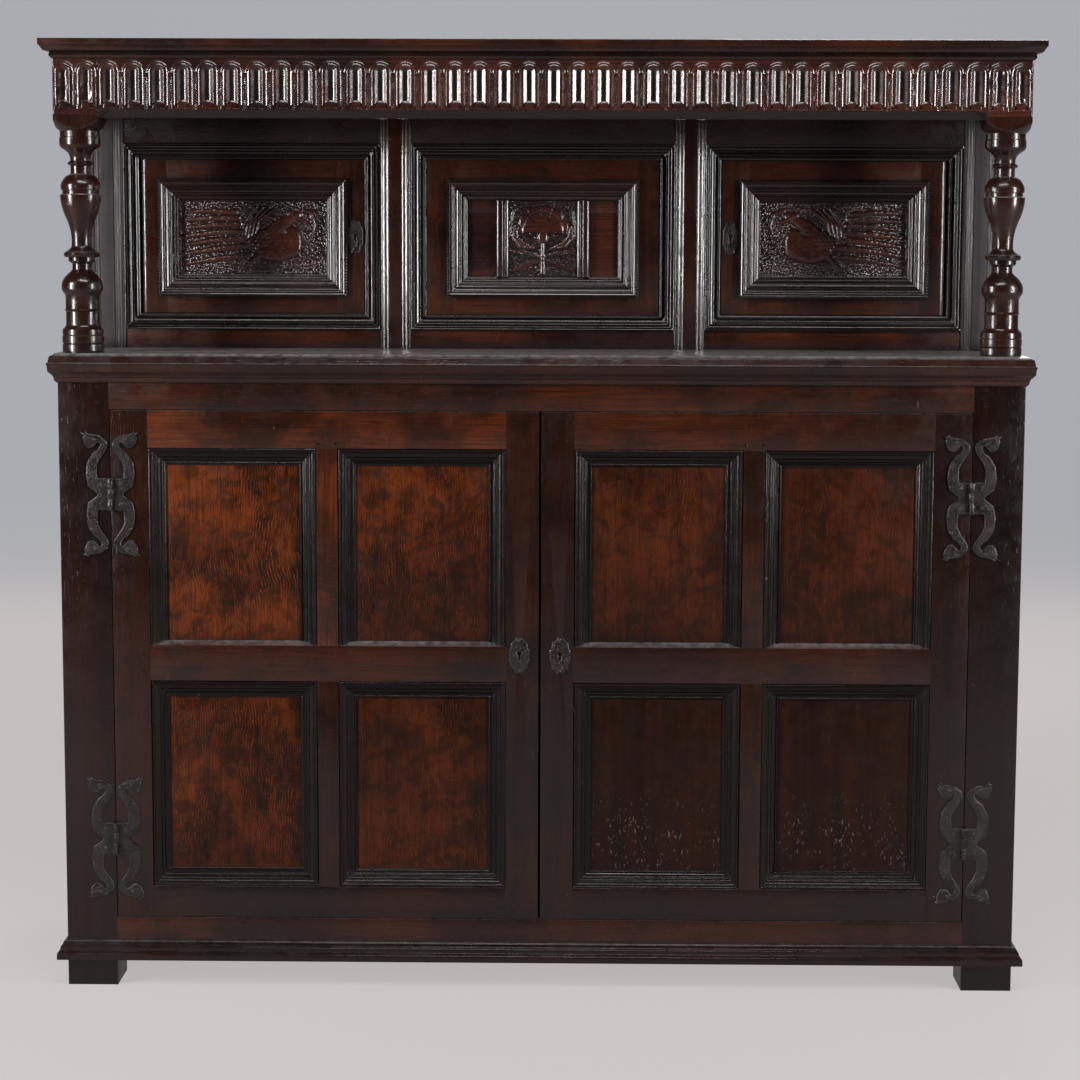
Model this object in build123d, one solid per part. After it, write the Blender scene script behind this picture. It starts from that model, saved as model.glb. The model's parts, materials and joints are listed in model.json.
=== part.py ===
from build123d import *
import math
import os

# Joined oak court cupboard: a lower cupboard with two panelled doors, a moulded
# mid board, and a set-back upper cupboard under a frieze on two turned columns.
# X runs to the right, Y to the back and Z up. The origin is on the floor, under
# the middle of the whole piece. All sizes are millimetres.

# ---- overall -------------------------------------------------------------
CASE_WIDTH = 1640.0            # over the corner posts
CASE_DEPTH = 540.0             # front of the posts to the back boards
UPPER_SETBACK = 220.0          # front of the lower posts to the upper posts

# ---- heights, from the floor up --------------------------------------------
FOOT_CLEARANCE = 48.0          # floor to the underside of the bottom rails
BOTTOM_RAIL_HEIGHT = 73.0
DOOR_OPENING_HEIGHT = 884.0
TOP_RAIL_HEIGHT = 55.0
MID_BOARD_THICKNESS = 40.0
UPPER_BOTTOM_RAIL_HEIGHT = 34.0
BAY_HEIGHT = 326.0             # between the upper rails
UPPER_TOP_RAIL_HEIGHT = 143.0
FRIEZE_HEIGHT = 108.0          # hangs down from the top boards
TOP_BOARD_THICKNESS = 22.0

# ---- framing timbers ---------------------------------------------------------
POST_WIDTH = 86.5
POST_DEPTH = 90.0
BACK_POST_WIDTH = 70.0
BACK_POST_DEPTH = 60.0
FRONT_RAIL_THICKNESS = 45.0
SIDE_RAIL_THICKNESS = 28.0
SIDE_MID_RAIL_HEIGHT = 60.0
SIDE_MID_RAIL_LEVEL = 440.0
SIDE_UPPER_BOTTOM_RAIL_HEIGHT = 60.0
BACK_RAIL_THICKNESS = 25.0
BACK_RAIL_HEIGHT = 60.0
UPPER_POST_WIDTH = 79.5
UPPER_POST_DEPTH = 50.0
MUNTIN_WIDTH = 55.0
MUNTIN_DEPTH = 45.0
CENTRE_BAY_WIDTH = 465.0
UPPER_RAIL_THICKNESS = 30.0
UPPER_RAIL_SETBACK = 2.0       # behind the face of the upper posts
TENON_THICKNESS = 10.0
TENON_LENGTH = 35.0
UPPER_SIDE_TENON_LENGTH = 25.0
SHORT_TENON_LENGTH = 18.0
TENON_SHOULDER = 8.0
PANEL_THICKNESS = 9.0
GROOVE_DEPTH = 8.0

# ---- boards --------------------------------------------------------------------
SHELF_LEVEL = 500.0            # top of the shelf
SHELF_THICKNESS = 20.0
FLOOR_THICKNESS = 16.0
BEARER_SIZE = 20.0
BACK_BOARD_THICKNESS = 12.0
BACK_BOARD_COUNT = 6
TOP_BOARD_COUNT = 3
BOARD_GAP = 0.6
MID_BOARD_OVERHANG = 16.5
MID_BOARD_EDGE = 60.0          # width of the board's moulded border
BED_MOULD_HEIGHT = 10.0
BED_MOULD_PROJECTION = 6.0
BASE_MOULD_PROJECTION = 17.0
CORNICE_OVERHANG = 20.0
CORNICE_SEAT = 30.0            # how far the cornice lies in over the frieze
CORNICE_BEAD_HEIGHT = 10.0
CORNICE_BEAD_PROJECTION = 5.0

# ---- columns and frieze ------------------------------------------------------------
BLOCK_SIZE = 76.0
BLOCK_DROP = 21.5              # how far the corner block hangs below the frieze
COLUMN_DOWEL_RADIUS = 12.5
COLUMN_DOWEL_LENGTH = 25.0
FRIEZE_THICKNESS = 40.0
FRIEZE_CHAMFER = 13.0
FRIEZE_CHAMFER_DEPTH = 9.0
FRIEZE_STOP = 20.0             # length of the ogee stop of that chamfer

# ---- lower doors ----------------------------------------------------------------
DOOR_THICKNESS = 28.0
DOOR_GAP = 1.5
MEETING_GAP = 4.0              # between the two lower doors
HINGE_STILE = 63.0
MEETING_STILE = 56.0
DOOR_MUNTIN = 36.0
DOOR_TOP_RAIL = 63.5
DOOR_MID_RAIL = 61.5
DOOR_BOTTOM_RAIL = 54.5
LOWER_PANEL_HEIGHT = 361.5     # over the mouldings of the lower pair of panels
PANEL_MOULD_WIDTH = 30.0
PANEL_MOULD_DEPTH = 15.0
SILL_RISE = 7.0                # slope of the mid rail below the upper panels

# ---- upper doors and centre panel ---------------------------------------------------
SURROUND_WIDTH = 27.0
SURROUND_DEPTH = 34.0
UPPER_DOOR_THICKNESS = 22.0
UPPER_DOOR_SETBACK = 4.0       # door face behind the upper posts' face
UPPER_DOOR_SIDE = 29.5         # visible width of the door's stiles
UPPER_DOOR_TOP = 33.0
UPPER_DOOR_BOTTOM = 28.0
CENTRE_PANEL_SIDE = 35.5       # the same for the fixed centre panel
RAISED_MOULD_WIDTH = 37.0
RAISED_MOULD_FLANGE = 18.0     # part of that moulding that lies on the frame
CARVED_PANEL_SINK = 12.0       # panel face behind the door's face
PIVOT_RADIUS = 3.0
PIVOT_LENGTH = 16.0            # in the door, and again in the surround
PIVOT_TANG = 7.0               # square, in the surround
PIVOT_FIT = 0.06
BOSS_WIDTH = 166.0
BOSS_THICKNESS = 10.0
BOSS_BORDER = 22.0
CENTRE_JOINT = 0.74            # height of the joint between the centre panel's two boards

# ---- ironwork -----------------------------------------------------------------------
LEAF_THICKNESS = 2.5
KNUCKLE_RADIUS = 4.5
KNUCKLE_HEIGHT = 54.0
KNUCKLE_SIDES = 12
KNUCKLE_GAP = 0.4              # between neighbouring knuckles
KNUCKLE_CLEARANCE = 0.6        # round a knuckle, in the other leaf's plate
PIN_RADIUS = 2.2
PIN_FIT = 0.06
LEAF_PLATE_WIDTH = 22.0
UPPER_HINGE_LEVEL = 860.0
LOWER_HINGE_LEVEL = 261.0
LOCK_LEVEL = 585.0
LOCK_CASE_WIDTH = 40.0
LOCK_CASE_HEIGHT = 60.0
LOCK_CASE_DEPTH = 16.0
LOCK_CASE_INSET = 13.0         # case to the door's meeting edge
BOLT_THICKNESS = 8.0
BOLT_HEIGHT = 12.0
BOLT_THROW = 14.0
BOLT_OFFSET = 12.0             # the two bolts pass above and below each other
BOLT_FIT = 0.3
UPPER_LOCK_LEVEL = 1297.0
UPPER_LOCK_CASE_WIDTH = 31.0
UPPER_LOCK_CASE_HEIGHT = 50.0
UPPER_LOCK_CASE_DEPTH = 12.0
UPPER_LOCK_INSET = 4.0
UPPER_KEY_OFFSET = 4.0         # keyhole off the middle of the case, towards the door's edge
UPPER_BOLT_THICKNESS = 6.0
UPPER_BOLT_HEIGHT = 10.0
UPPER_BOLT_THROW = 10.0
ESCUTCHEON_THICKNESS = 2.0
ESCUTCHEON_SIZE = (37.0, 66.0)
UPPER_ESCUTCHEON_SIZE = (29.0, 64.0)
ESCUTCHEON_LOBES = 12
UPPER_ESCUTCHEON_LOBES = 8
CUSP_SHARE = 0.9               # the points between the lobes, as a share of the oval
KEYHOLE_RADIUS = 3.8
KEYHOLE_SIDES = 8
KEYHOLE_SLOT = 13.0
KEYHOLE_SLOT_WIDTH = 3.4
KEYHOLE_EYE_RISE = 3.25        # eye over the middle of the plate
KEYHOLE_IN_CASE = 3.0          # depth of the keyhole inside the lock case

REED_DEPTH = 2.0
MUNTIN_REEDS = [4.5, 6.5, 6.5]   # widths, from the edge in
POST_REEDS = [5.0, 5.0, 5.0]
POST_REED_MARGIN = 4.0         # plain strip at the edge of the upper posts
FACE_FIT = 0.3                 # gap behind a curved iron face
CURVE_FLATS = 2                # flats that each curve of a moulding, turning or outline is cut in
SAME_POINT = 0.01              # corners nearer than this are one corner

# ---- levels and faces worked out from the sizes above -------------------------------
half = CASE_WIDTH / 2
front_reach = max(CORNICE_OVERHANG, MID_BOARD_OVERHANG, BASE_MOULD_PROJECTION)
y_front = -(CASE_DEPTH + front_reach) / 2 + front_reach
y_back = y_front + CASE_DEPTH
y_upper = y_front + UPPER_SETBACK
y_back_rail = y_back - BACK_BOARD_THICKNESS - BACK_RAIL_THICKNESS

z_rail = FOOT_CLEARANCE
z_opening = z_rail + BOTTOM_RAIL_HEIGHT
z_opening_top = z_opening + DOOR_OPENING_HEIGHT
z_mid = z_opening_top + TOP_RAIL_HEIGHT
z_ledge = z_mid + MID_BOARD_THICKNESS
z_bay = z_ledge + UPPER_BOTTOM_RAIL_HEIGHT
z_bay_top = z_bay + BAY_HEIGHT
z_boards = z_bay_top + UPPER_TOP_RAIL_HEIGHT
z_frieze = z_boards - FRIEZE_HEIGHT
z_top = z_boards + TOP_BOARD_THICKNESS

opening_half = half - POST_WIDTH
upper_post_inner = half - UPPER_POST_WIDTH
muntin_inner = CENTRE_BAY_WIDTH / 2
muntin_outer = muntin_inner + MUNTIN_WIDTH
column_x = half - BLOCK_SIZE / 2
column_y = y_front + BLOCK_SIZE / 2
block_inner = half - BLOCK_SIZE
block_back = y_front + BLOCK_SIZE

SIDES = {"left": -1, "right": 1}

pieces = {}


def keep(name, *shapes):
    """Files the solids of the shapes under one node name."""
    pieces.setdefault(name, []).extend(solid for shape in shapes for solid in shape.solids())


def bar(x0, x1, y0, y1, z0, z1):
    """A squared timber between the given limits."""
    return Pos((x0 + x1) / 2, (y0 + y1) / 2, (z0 + z1) / 2) * Box(x1 - x0, y1 - y0, z1 - z0)


def beam(side, near, far, y0, y1, z0, z1):
    """A squared timber on one side, between two distances from the middle plane."""
    x0, x1 = sorted((side * near, side * far))
    return bar(x0, x1, y0, y1, z0, z1)


def rail_x(x0, x1, y0, y1, z0, z1, tenon=TENON_LENGTH):
    """A rail along X with a centred tenon at both ends."""
    y_mid = (y0 + y1) / 2
    tongue = bar(x0 - tenon, x1 + tenon, y_mid - TENON_THICKNESS / 2, y_mid + TENON_THICKNESS / 2,
                 z0 + TENON_SHOULDER, z1 - TENON_SHOULDER)
    return bar(x0, x1, y0, y1, z0, z1) + tongue


def rail_y(x0, x1, y0, y1, z0, z1, tenon=TENON_LENGTH):
    """A rail along Y with a centred tenon at both ends."""
    x_mid = (x0 + x1) / 2
    tongue = bar(x_mid - TENON_THICKNESS / 2, x_mid + TENON_THICKNESS / 2, y0 - tenon, y1 + tenon,
                 z0 + TENON_SHOULDER, z1 - TENON_SHOULDER)
    return bar(x0, x1, y0, y1, z0, z1) + tongue


def stile_z(x0, x1, y0, y1, z0, z1, tenon=SHORT_TENON_LENGTH):
    """An upright with a centred tenon at both ends."""
    y_mid = (y0 + y1) / 2
    tongue = bar(x0 + TENON_SHOULDER, x1 - TENON_SHOULDER, y_mid - TENON_THICKNESS / 2,
                 y_mid + TENON_THICKNESS / 2, z0 - tenon, z1 + tenon)
    return bar(x0, x1, y0, y1, z0, z1) + tongue


def cut(shape, *tools):
    """The shape less every tool: mortises, grooves, rebates and bores."""
    for tool in tools:
        shape = shape - tool
    return shape


def outline(*steps):
    """A closed face. A step is a point for a straight line, or (through, end) for a curve in flats."""
    corners = [steps[0]]
    for step in steps[1:]:
        if isinstance(step[0], tuple):
            through, end = step
            curve = ThreePointArc(corners[-1], through, end)
            for n in range(1, CURVE_FLATS + 1):
                point = curve @ (n / CURVE_FLATS)
                corners.append((point.X, point.Y))
        elif math.dist(corners[-1], step) > SAME_POINT:
            corners.append(step)
    return make_face(Polyline(*corners, close=True))


def mirrored(shape, side):
    """The left-hand shape, or its mirror image for the right-hand side."""
    return shape if side < 0 else mirror(shape, Plane.YZ)


# ---- moulding profiles ---------------------------------------------------------------

def panel_profile():
    """Lower door moulding: bead, ovolo, cavetto and bead, falling from the frame to the panel."""
    depth, width = PANEL_MOULD_DEPTH, PANEL_MOULD_WIDTH
    return outline((0, 0), (0, depth - 2.4), ((2.4, depth), (4.8, depth - 2.4)), (6, depth - 3),
                   ((12.6, depth - 4.6), (16, depth - 9)), (18.5, depth - 10), ((20.6, 2.9), (25, 1.8)),
                   (27.4, 3.2), (width, 1), (width, 0))


def raised_profile():
    """Bolection moulding of the upper panels: it stands on the frame and falls to the panel."""
    flange, width, sink = RAISED_MOULD_FLANGE, RAISED_MOULD_WIDTH, CARVED_PANEL_SINK
    return outline((0, 0), (0, 4.5), (3.5, 4.5), (4.4, 3.4), ((8.2, 10.4), (11.2, 8)), (11.8, 7),
                   (13.4, 8.2), (14.8, 6.8), (15.4, 5.6), ((20.2, -0.6), (27, -5.5)),
                   ((30, -3.6), (32.2, -6.2)), (34.8, -6.8), (width, -9.4), (width, -sink),
                   (flange, -sink), (flange, 0))


def surround_profile():
    """Moulded inner frame of an upper bay, from the posts and rails in to the door."""
    width, depth = SURROUND_WIDTH, SURROUND_DEPTH
    return outline((0, -depth), (0, 2), (2.5, 2), (3.4, 0.8), ((6.2, 5), (8.6, 1.6)),
                   ((11, 5.4), (13.2, 2)), ((15.4, -3), (19.2, -4.6)), ((22, 0.4), (24.4, -4.6)),
                   (width, -5), (width, -depth))


def base_profile():
    """Three stepped beads round the bottom of the case."""
    reach = BASE_MOULD_PROJECTION
    return outline((0, 0), (reach, 0), (reach, 5), ((reach - 0.8, 12), (reach - 5.4, 15.6)),
                   (reach - 5.4, 17), ((reach - 6, 22.6), (reach - 9.6, 25.6)), (reach - 9.6, 27),
                   ((reach - 11, 31), (reach - 14.6, 32)), (reach - 14.6, 34), (0, 34))


def bed_profile():
    """Small ovolo under the mid board."""
    height, reach = BED_MOULD_HEIGHT, BED_MOULD_PROJECTION
    return outline((0, -height), (1.6, -height), ((reach - 1.2, -6.6), (reach, -1.6)), (reach, 0), (0, 0))


def nosing_profile():
    """Edge of the mid board: a quarter round over a fillet and a torus."""
    inner, reach, top = -MID_BOARD_EDGE, MID_BOARD_OVERHANG, MID_BOARD_THICKNESS
    middle = top / 2
    return outline((inner, 0), (reach - 9.5, 0), (reach - 9.5, 2), ((reach - 2.5, 8.5), (reach - 1, middle)),
                   (reach, middle + 0.8), (reach, middle + 3.6), (reach - 2.2, middle + 4.4),
                   ((reach - 4.2, top - 5.4), (reach - 13.5, top)), (inner, top))


def cornice_profile():
    """Ovolo under a square fillet, at the edge of the top."""
    inner, reach, top = -CORNICE_SEAT, CORNICE_OVERHANG, TOP_BOARD_THICKNESS
    return outline((inner, 0), (3, 0), ((reach - 6, 3.4), (reach - 1.5, top - 11)),
                   (reach, top - 10.4), (reach, top), (inner, top))


def cornice_bead_profile():
    """Bead planted under the cornice, over the top of the frieze."""
    height, reach = CORNICE_BEAD_HEIGHT, CORNICE_BEAD_PROJECTION
    return outline((0, -height), (1, -height), ((reach, -4), (reach - 1.6, 0)), (0, 0))


# ---- moulding runs ----------------------------------------------------------------------

STRIP_TURN = {"bottom": 0, "left": 90, "top": 180, "right": 270}


def strip(profile, width, length, start_mitre=True, end_mitre=True):
    """A length of moulding along X, its outer edge on the X axis, with mitred or square ends."""
    section = Plane(origin=(-length / 2, 0, 0), x_dir=(0, 0, 1), z_dir=(1, 0, 0)) * profile
    run = extrude(section, amount=length)
    start = width if start_mitre else 0
    end = width if end_mitre else 0
    mask = Plane.XZ * outline((-length / 2, 0), (length / 2, 0), (length / 2 - end, width),
                              (-length / 2 + start, width))
    return run & extrude(mask, amount=60, both=True)


def moulding_frame(profile, width, x0, x1, z0, z1, y, sill=False):
    """Mouldings round an opening, glued at their mitres. With a sill there is no bottom strip."""
    x_mid, z_mid_level = (x0 + x1) / 2, (z0 + z1) / 2
    top = Pos(x_mid, y, z1) * Rot(0, STRIP_TURN["top"], 0) * strip(profile, width, x1 - x0)
    left = strip(profile, width, z1 - z0, end_mitre=not sill)
    right = strip(profile, width, z1 - z0, start_mitre=not sill)
    ring = top + Pos(x0, y, z_mid_level) * Rot(0, STRIP_TURN["left"], 0) * left
    ring = ring + Pos(x1, y, z_mid_level) * Rot(0, STRIP_TURN["right"], 0) * right
    if not sill:
        ring = ring + Pos(x_mid, y, z0) * strip(profile, width, x1 - x0)
    return ring


def case_moulding(profile, z, inner, reach):
    """Front and side strips round the case, mitred at the front corners.

    The profile's first value is the distance out from the case, its second the height over z.
    """
    span = CASE_WIDTH + 2 * reach
    section = Plane(origin=(span / 2, y_front, z), x_dir=(0, -1, 0), z_dir=(-1, 0, 0)) * profile
    mask = outline((-half - reach, y_front - reach), (half + reach, y_front - reach),
                   (half - inner, y_front + inner), (-half + inner, y_front + inner))
    high_mask = extrude(Pos(0, 0, z - 100) * mask, amount=200)
    strips = [extrude(section, amount=span) & high_mask]
    for side in (-1, 1):
        length = y_back - y_front + reach
        plane = Plane(origin=(side * half, y_back, z), x_dir=(side, 0, 0), z_dir=(0, -side, 0))
        side_run = extrude(plane * profile, amount=side * length)
        side_mask = outline((side * (half + reach), y_front - reach), (side * (half + reach), y_back),
                            (side * (half - inner), y_back), (side * (half - inner), y_front + inner))
        strips.append(side_run & extrude(Pos(0, 0, z - 100) * side_mask, amount=200))
    return strips


def reeded_section(x0, x1, y_face, y_rear, reeds):
    """Plan of an upright whose face carries reeds, each given by its two edges."""
    steps = [(x0, y_rear)]
    here = x0
    for start, end in reeds:
        if start > here + SAME_POINT:
            steps += [(here, y_face), (start, y_face)]
        steps.append((start, y_face + REED_DEPTH))
        steps.append((((start + end) / 2, y_face), (end, y_face + REED_DEPTH)))
        here = end
    if x1 > here + SAME_POINT:
        steps += [(here, y_face), (x1, y_face)]
    steps.append((x1, y_rear))
    return outline(*steps)


def reed_run(start, widths):
    """Edges of neighbouring reeds of the given widths, from start."""
    edges = []
    for width in widths:
        edges.append((start, start + width))
        start += width
    return edges


# ---- lower doors --------------------------------------------------------------------------

def keyhole(x, y_face, z, depth):
    """Keyhole with a filed eye over its slot, cut from the face inwards."""
    eye_z = z + KEYHOLE_EYE_RISE
    face = Plane(origin=(x, y_face, eye_z), x_dir=(1, 0, 0), z_dir=(0, 1, 0))
    eye = extrude(face * RegularPolygon(KEYHOLE_RADIUS, KEYHOLE_SIDES), amount=depth)
    slot = bar(x - KEYHOLE_SLOT_WIDTH / 2, x + KEYHOLE_SLOT_WIDTH / 2, y_face, y_face + depth,
               eye_z - KEYHOLE_SLOT, eye_z)
    return eye + slot


def escutcheon(x, y_face, z, size, lobes):
    """Flat iron plate with a scalloped oval edge, lying on the door's face."""
    width, height = size

    def on_oval(share, turn):
        angle = math.pi / 2 + 2 * math.pi * turn / lobes
        return share * width / 2 * math.cos(angle), share * height / 2 * math.sin(angle)

    steps = [on_oval(CUSP_SHARE, 0)]
    for n in range(lobes):
        steps.append((on_oval(1, n + 0.5), on_oval(CUSP_SHARE, n + 1)))
    face = Plane(origin=(x, y_face, z), x_dir=(1, 0, 0), z_dir=(0, -1, 0))
    plate = extrude(face * outline(*steps), amount=ESCUTCHEON_THICKNESS)
    return plate - keyhole(x, y_face - ESCUTCHEON_THICKNESS, z, ESCUTCHEON_THICKNESS)


def door_span():
    """Hinge edge and meeting edge of the left-hand lower door."""
    return -opening_half + DOOR_GAP, -MEETING_GAP / 2


def lower_door_panels():
    """Outer limits of the four moulded openings of the left-hand lower door."""
    x0, x1 = door_span()
    panel_width = (x1 - x0 - HINGE_STILE - DOOR_MUNTIN - MEETING_STILE) / 2
    first = x0 + HINGE_STILE
    second = first + panel_width + DOOR_MUNTIN
    z_low = z_opening + DOOR_GAP + DOOR_BOTTOM_RAIL
    z_low_top = z_low + LOWER_PANEL_HEIGHT
    z_high = z_low_top + DOOR_MID_RAIL
    z_high_top = z_opening_top - DOOR_GAP - DOOR_TOP_RAIL
    return [(x, x + panel_width, low, high) for x in (first, second)
            for low, high in ((z_low, z_low_top), (z_high, z_high_top))]


def lower_lock(bolt_side):
    """Case, bolt, bolt channel and keyhole of the left-hand lower door, and the mate's pocket."""
    x_edge = door_span()[1]
    case_x1 = x_edge - LOCK_CASE_INSET
    case_x0 = case_x1 - LOCK_CASE_WIDTH
    y_rear = y_front + DOOR_THICKNESS
    y_case = y_rear - LOCK_CASE_DEPTH
    y_bolt = y_case + (LOCK_CASE_DEPTH - BOLT_THICKNESS) / 2
    z_bolt = LOCK_LEVEL + bolt_side * BOLT_OFFSET - BOLT_HEIGHT / 2
    z_mate = LOCK_LEVEL - bolt_side * BOLT_OFFSET - BOLT_HEIGHT / 2
    slide_y = (y_bolt - BOLT_FIT, y_bolt + BOLT_THICKNESS + BOLT_FIT)
    recess = bar(case_x0, case_x1, y_case, y_rear, LOCK_LEVEL - LOCK_CASE_HEIGHT / 2,
                 LOCK_LEVEL + LOCK_CASE_HEIGHT / 2)
    bolt = bar(case_x0 + BOLT_THICKNESS, x_edge - 1, y_bolt, y_bolt + BOLT_THICKNESS,
               z_bolt, z_bolt + BOLT_HEIGHT)
    channel = bar(case_x0 + BOLT_THICKNESS - BOLT_FIT, x_edge, *slide_y,
                  z_bolt - BOLT_FIT, z_bolt + BOLT_HEIGHT + BOLT_FIT)
    pocket = bar(x_edge - BOLT_THROW, x_edge, *slide_y,
                 z_mate - BOLT_FIT, z_mate + BOLT_HEIGHT + BOLT_FIT)
    key_x = (case_x0 + case_x1) / 2
    hole = keyhole(key_x, y_front, LOCK_LEVEL, y_case - y_front + KEYHOLE_IN_CASE)
    return recess, bolt, channel, pocket, hole, key_x


def lower_door(name, side):
    """One lower door: framing, panels, mouldings, lock and its hinge leaves."""
    x0, x1 = door_span()
    z0, z1 = z_opening + DOOR_GAP, z_opening_top - DOOR_GAP
    y0, y1 = y_front, y_front + DOOR_THICKNESS
    openings = lower_door_panels()
    inner_x0, inner_x1 = x0 + HINGE_STILE, x1 - MEETING_STILE
    muntin_x0, muntin_x1 = openings[0][1], openings[2][0]
    z_low, z_low_top = openings[0][2:]
    z_high, z_high_top = openings[1][2:]
    y_panel = y0 + PANEL_MOULD_DEPTH

    top_rail = rail_x(inner_x0, inner_x1, y0, y1, z_high_top, z1)
    bottom_rail = rail_x(inner_x0, inner_x1, y0, y1, z0, z_low)
    sill = extrude(Plane(origin=(inner_x0, y0, 0), x_dir=(0, 1, 0), z_dir=(1, 0, 0))
                   * outline((0, z_high - 5), (0, z_high), (PANEL_MOULD_DEPTH, z_high + SILL_RISE),
                             (DOOR_THICKNESS, z_high + SILL_RISE), (DOOR_THICKNESS, z_high - 5)),
                   amount=inner_x1 - inner_x0)
    mid_rail = rail_x(inner_x0, inner_x1, y0, y1, z_low_top, z_high) + sill
    muntins = [stile_z(muntin_x0, muntin_x1, y0, y1, z_low, z_low_top),
               stile_z(muntin_x0, muntin_x1, y0, y1, z_high, z_high_top) - sill]
    panels = [bar(a - GROOVE_DEPTH, b + GROOVE_DEPTH, y_panel, y_panel + PANEL_THICKNESS,
                  low - GROOVE_DEPTH if low == z_low else low + SILL_RISE - GROOVE_DEPTH,
                  high + GROOVE_DEPTH) for a, b, low, high in openings]
    recess, bolt, channel, pocket, hole, key_x = lower_lock(-side)

    lock_cuts = (recess, channel, pocket, hole)
    panels = [cut(panel, *lock_cuts) for panel in panels]
    rails = [cut(rail, *muntins, *panels, *lock_cuts) for rail in (top_rail, mid_rail, bottom_rail)]
    stiles = [cut(bar(x0, inner_x0, y0, y1, z0, z1), *rails, *panels),
              cut(bar(inner_x1, x1, y0, y1, z0, z1), *rails, *panels, *lock_cuts)]
    uprights = [cut(muntin, *panels) for muntin in muntins]
    mouldings = []
    for a, b, low, high in openings:
        ring = moulding_frame(panel_profile(), PANEL_MOULD_WIDTH, a, b, low, high, y_panel,
                              sill=low == z_high)
        mouldings.append(ring - sill if low == z_high else ring)

    case = cut(recess, channel, hole)
    plate = escutcheon(key_x, y_front, LOCK_LEVEL, ESCUTCHEON_SIZE, ESCUTCHEON_LOBES)
    keep(name + "_stiles", *[mirrored(piece, side) for piece in stiles])
    keep(name + "_rails", *[mirrored(piece, side) for piece in rails + uprights])
    keep(name + "_panels", *[mirrored(piece, side) for piece in panels])
    keep(name + "_mouldings", *[mirrored(piece, side) for piece in mouldings])
    keep(name + "_lock", mirrored(case, side), mirrored(plate, side))
    keep(name + "_bolt", mirrored(bolt, side))


# ---- cockshead hinges -------------------------------------------------------------------------

def cockshead_arm():
    """Outline of one arm of a leaf: a swelling curve that turns over into a bird's head.

    The first value is the distance out from the pin, the second the height over the middle.
    """
    plate, rise = LEAF_PLATE_WIDTH, KNUCKLE_HEIGHT / 2
    outer = [(plate, 2), ((36, 11), (41.5, 34)), ((38.6, 56), (29, 71)), ((21.6, 75.6), (16.5, 83))]
    crook = [((17, 87.4), (20, 90)), (24, 85), ((30.4, 79.4), (38, 80)), ((41.8, 84), (44, 90))]
    head = [(46.5, 97), (44, 100), (49.5, 106), (45, 104.4), (40.5, 108), (37, 104.2), (31, 103)]
    neck = [((15, 99.6), (6, 92)), ((4.3, 85), (6, 78)), ((11.5, 69), (18, 60)), ((22.8, 49), (23, 38))]
    root = [(plate, rise), (plate - 8, rise), (plate - 8, 2)]
    return outline(*outer, *crook, *head, *neck, *root)


def knuckle_bands():
    """Lower and upper limits of the hinge's three knuckles, the middle one on the door."""
    third = KNUCKLE_HEIGHT / 3
    low = -KNUCKLE_HEIGHT / 2
    return [(low, low + third), (low + third + KNUCKLE_GAP, low + 2 * third - KNUCKLE_GAP),
            (low + 2 * third, low + KNUCKLE_HEIGHT)]


def barrel(radius, low, high):
    """A round bar on the hinge pin's own axis."""
    return Pos(0, 0, (low + high) / 2) * Cylinder(radius, high - low)


def knuckle(radius, low, high):
    """A rolled knuckle, or the clearance round one, as the smith leaves it: hammered to flats."""
    return extrude(Pos(0, 0, low) * RegularPolygon(radius, KNUCKLE_SIDES), amount=high - low)


def hinge_leaf(bands, clear_bands):
    """One leaf about its pin axis: plate, two mirrored arms and rolled knuckles, unbored."""
    y_wood = KNUCKLE_RADIUS + FACE_FIT
    face = Plane(origin=(0, y_wood, 0), x_dir=(1, 0, 0), z_dir=(0, -1, 0))
    arm = cockshead_arm()
    gap = DOOR_GAP / 2
    plate = Pos((gap + LEAF_PLATE_WIDTH) / 2, 0) * Rectangle(LEAF_PLATE_WIDTH - gap, KNUCKLE_HEIGHT)
    flat = extrude(face * (plate + arm + mirror(arm, Plane.XZ)), amount=LEAF_THICKNESS)
    for low, high in bands:
        flat = flat + knuckle(KNUCKLE_RADIUS, low, high)
        flat = flat + bar(0, KNUCKLE_RADIUS, y_wood - LEAF_THICKNESS, y_wood - SAME_POINT, low, high)
    for low, high in clear_bands:
        flat = flat - knuckle(KNUCKLE_RADIUS + KNUCKLE_CLEARANCE, low - KNUCKLE_GAP, high + KNUCKLE_GAP)
    return flat


def lower_hinges():
    """Two cockshead hinges for each lower door, in the gap between door and post.

    The pin is riveted flush in the post leaf's two knuckles and runs in the door leaf's one.
    """
    bands = knuckle_bands()
    y_pin = y_front - KNUCKLE_RADIUS - FACE_FIT
    reach = KNUCKLE_HEIGHT / 2
    post_leaf = hinge_leaf([bands[0], bands[2]], [bands[1]]) + barrel(PIN_RADIUS, -reach, reach)
    door_leaf = hinge_leaf([bands[1]], [bands[0], bands[2]]) - barrel(PIN_RADIUS + PIN_FIT, -reach, reach)
    for name, side in SIDES.items():
        for level in (LOWER_HINGE_LEVEL, UPPER_HINGE_LEVEL):
            place = Pos(side * (opening_half - DOOR_GAP / 2), y_pin, level)
            keep("hinge_post_leaves", place * mirrored(post_leaf, -side))
            keep(f"{name}_lower_door_hinge_leaves", place * mirrored(door_leaf, side))


# ---- upper doors and centre panel -----------------------------------------------------------------

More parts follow.
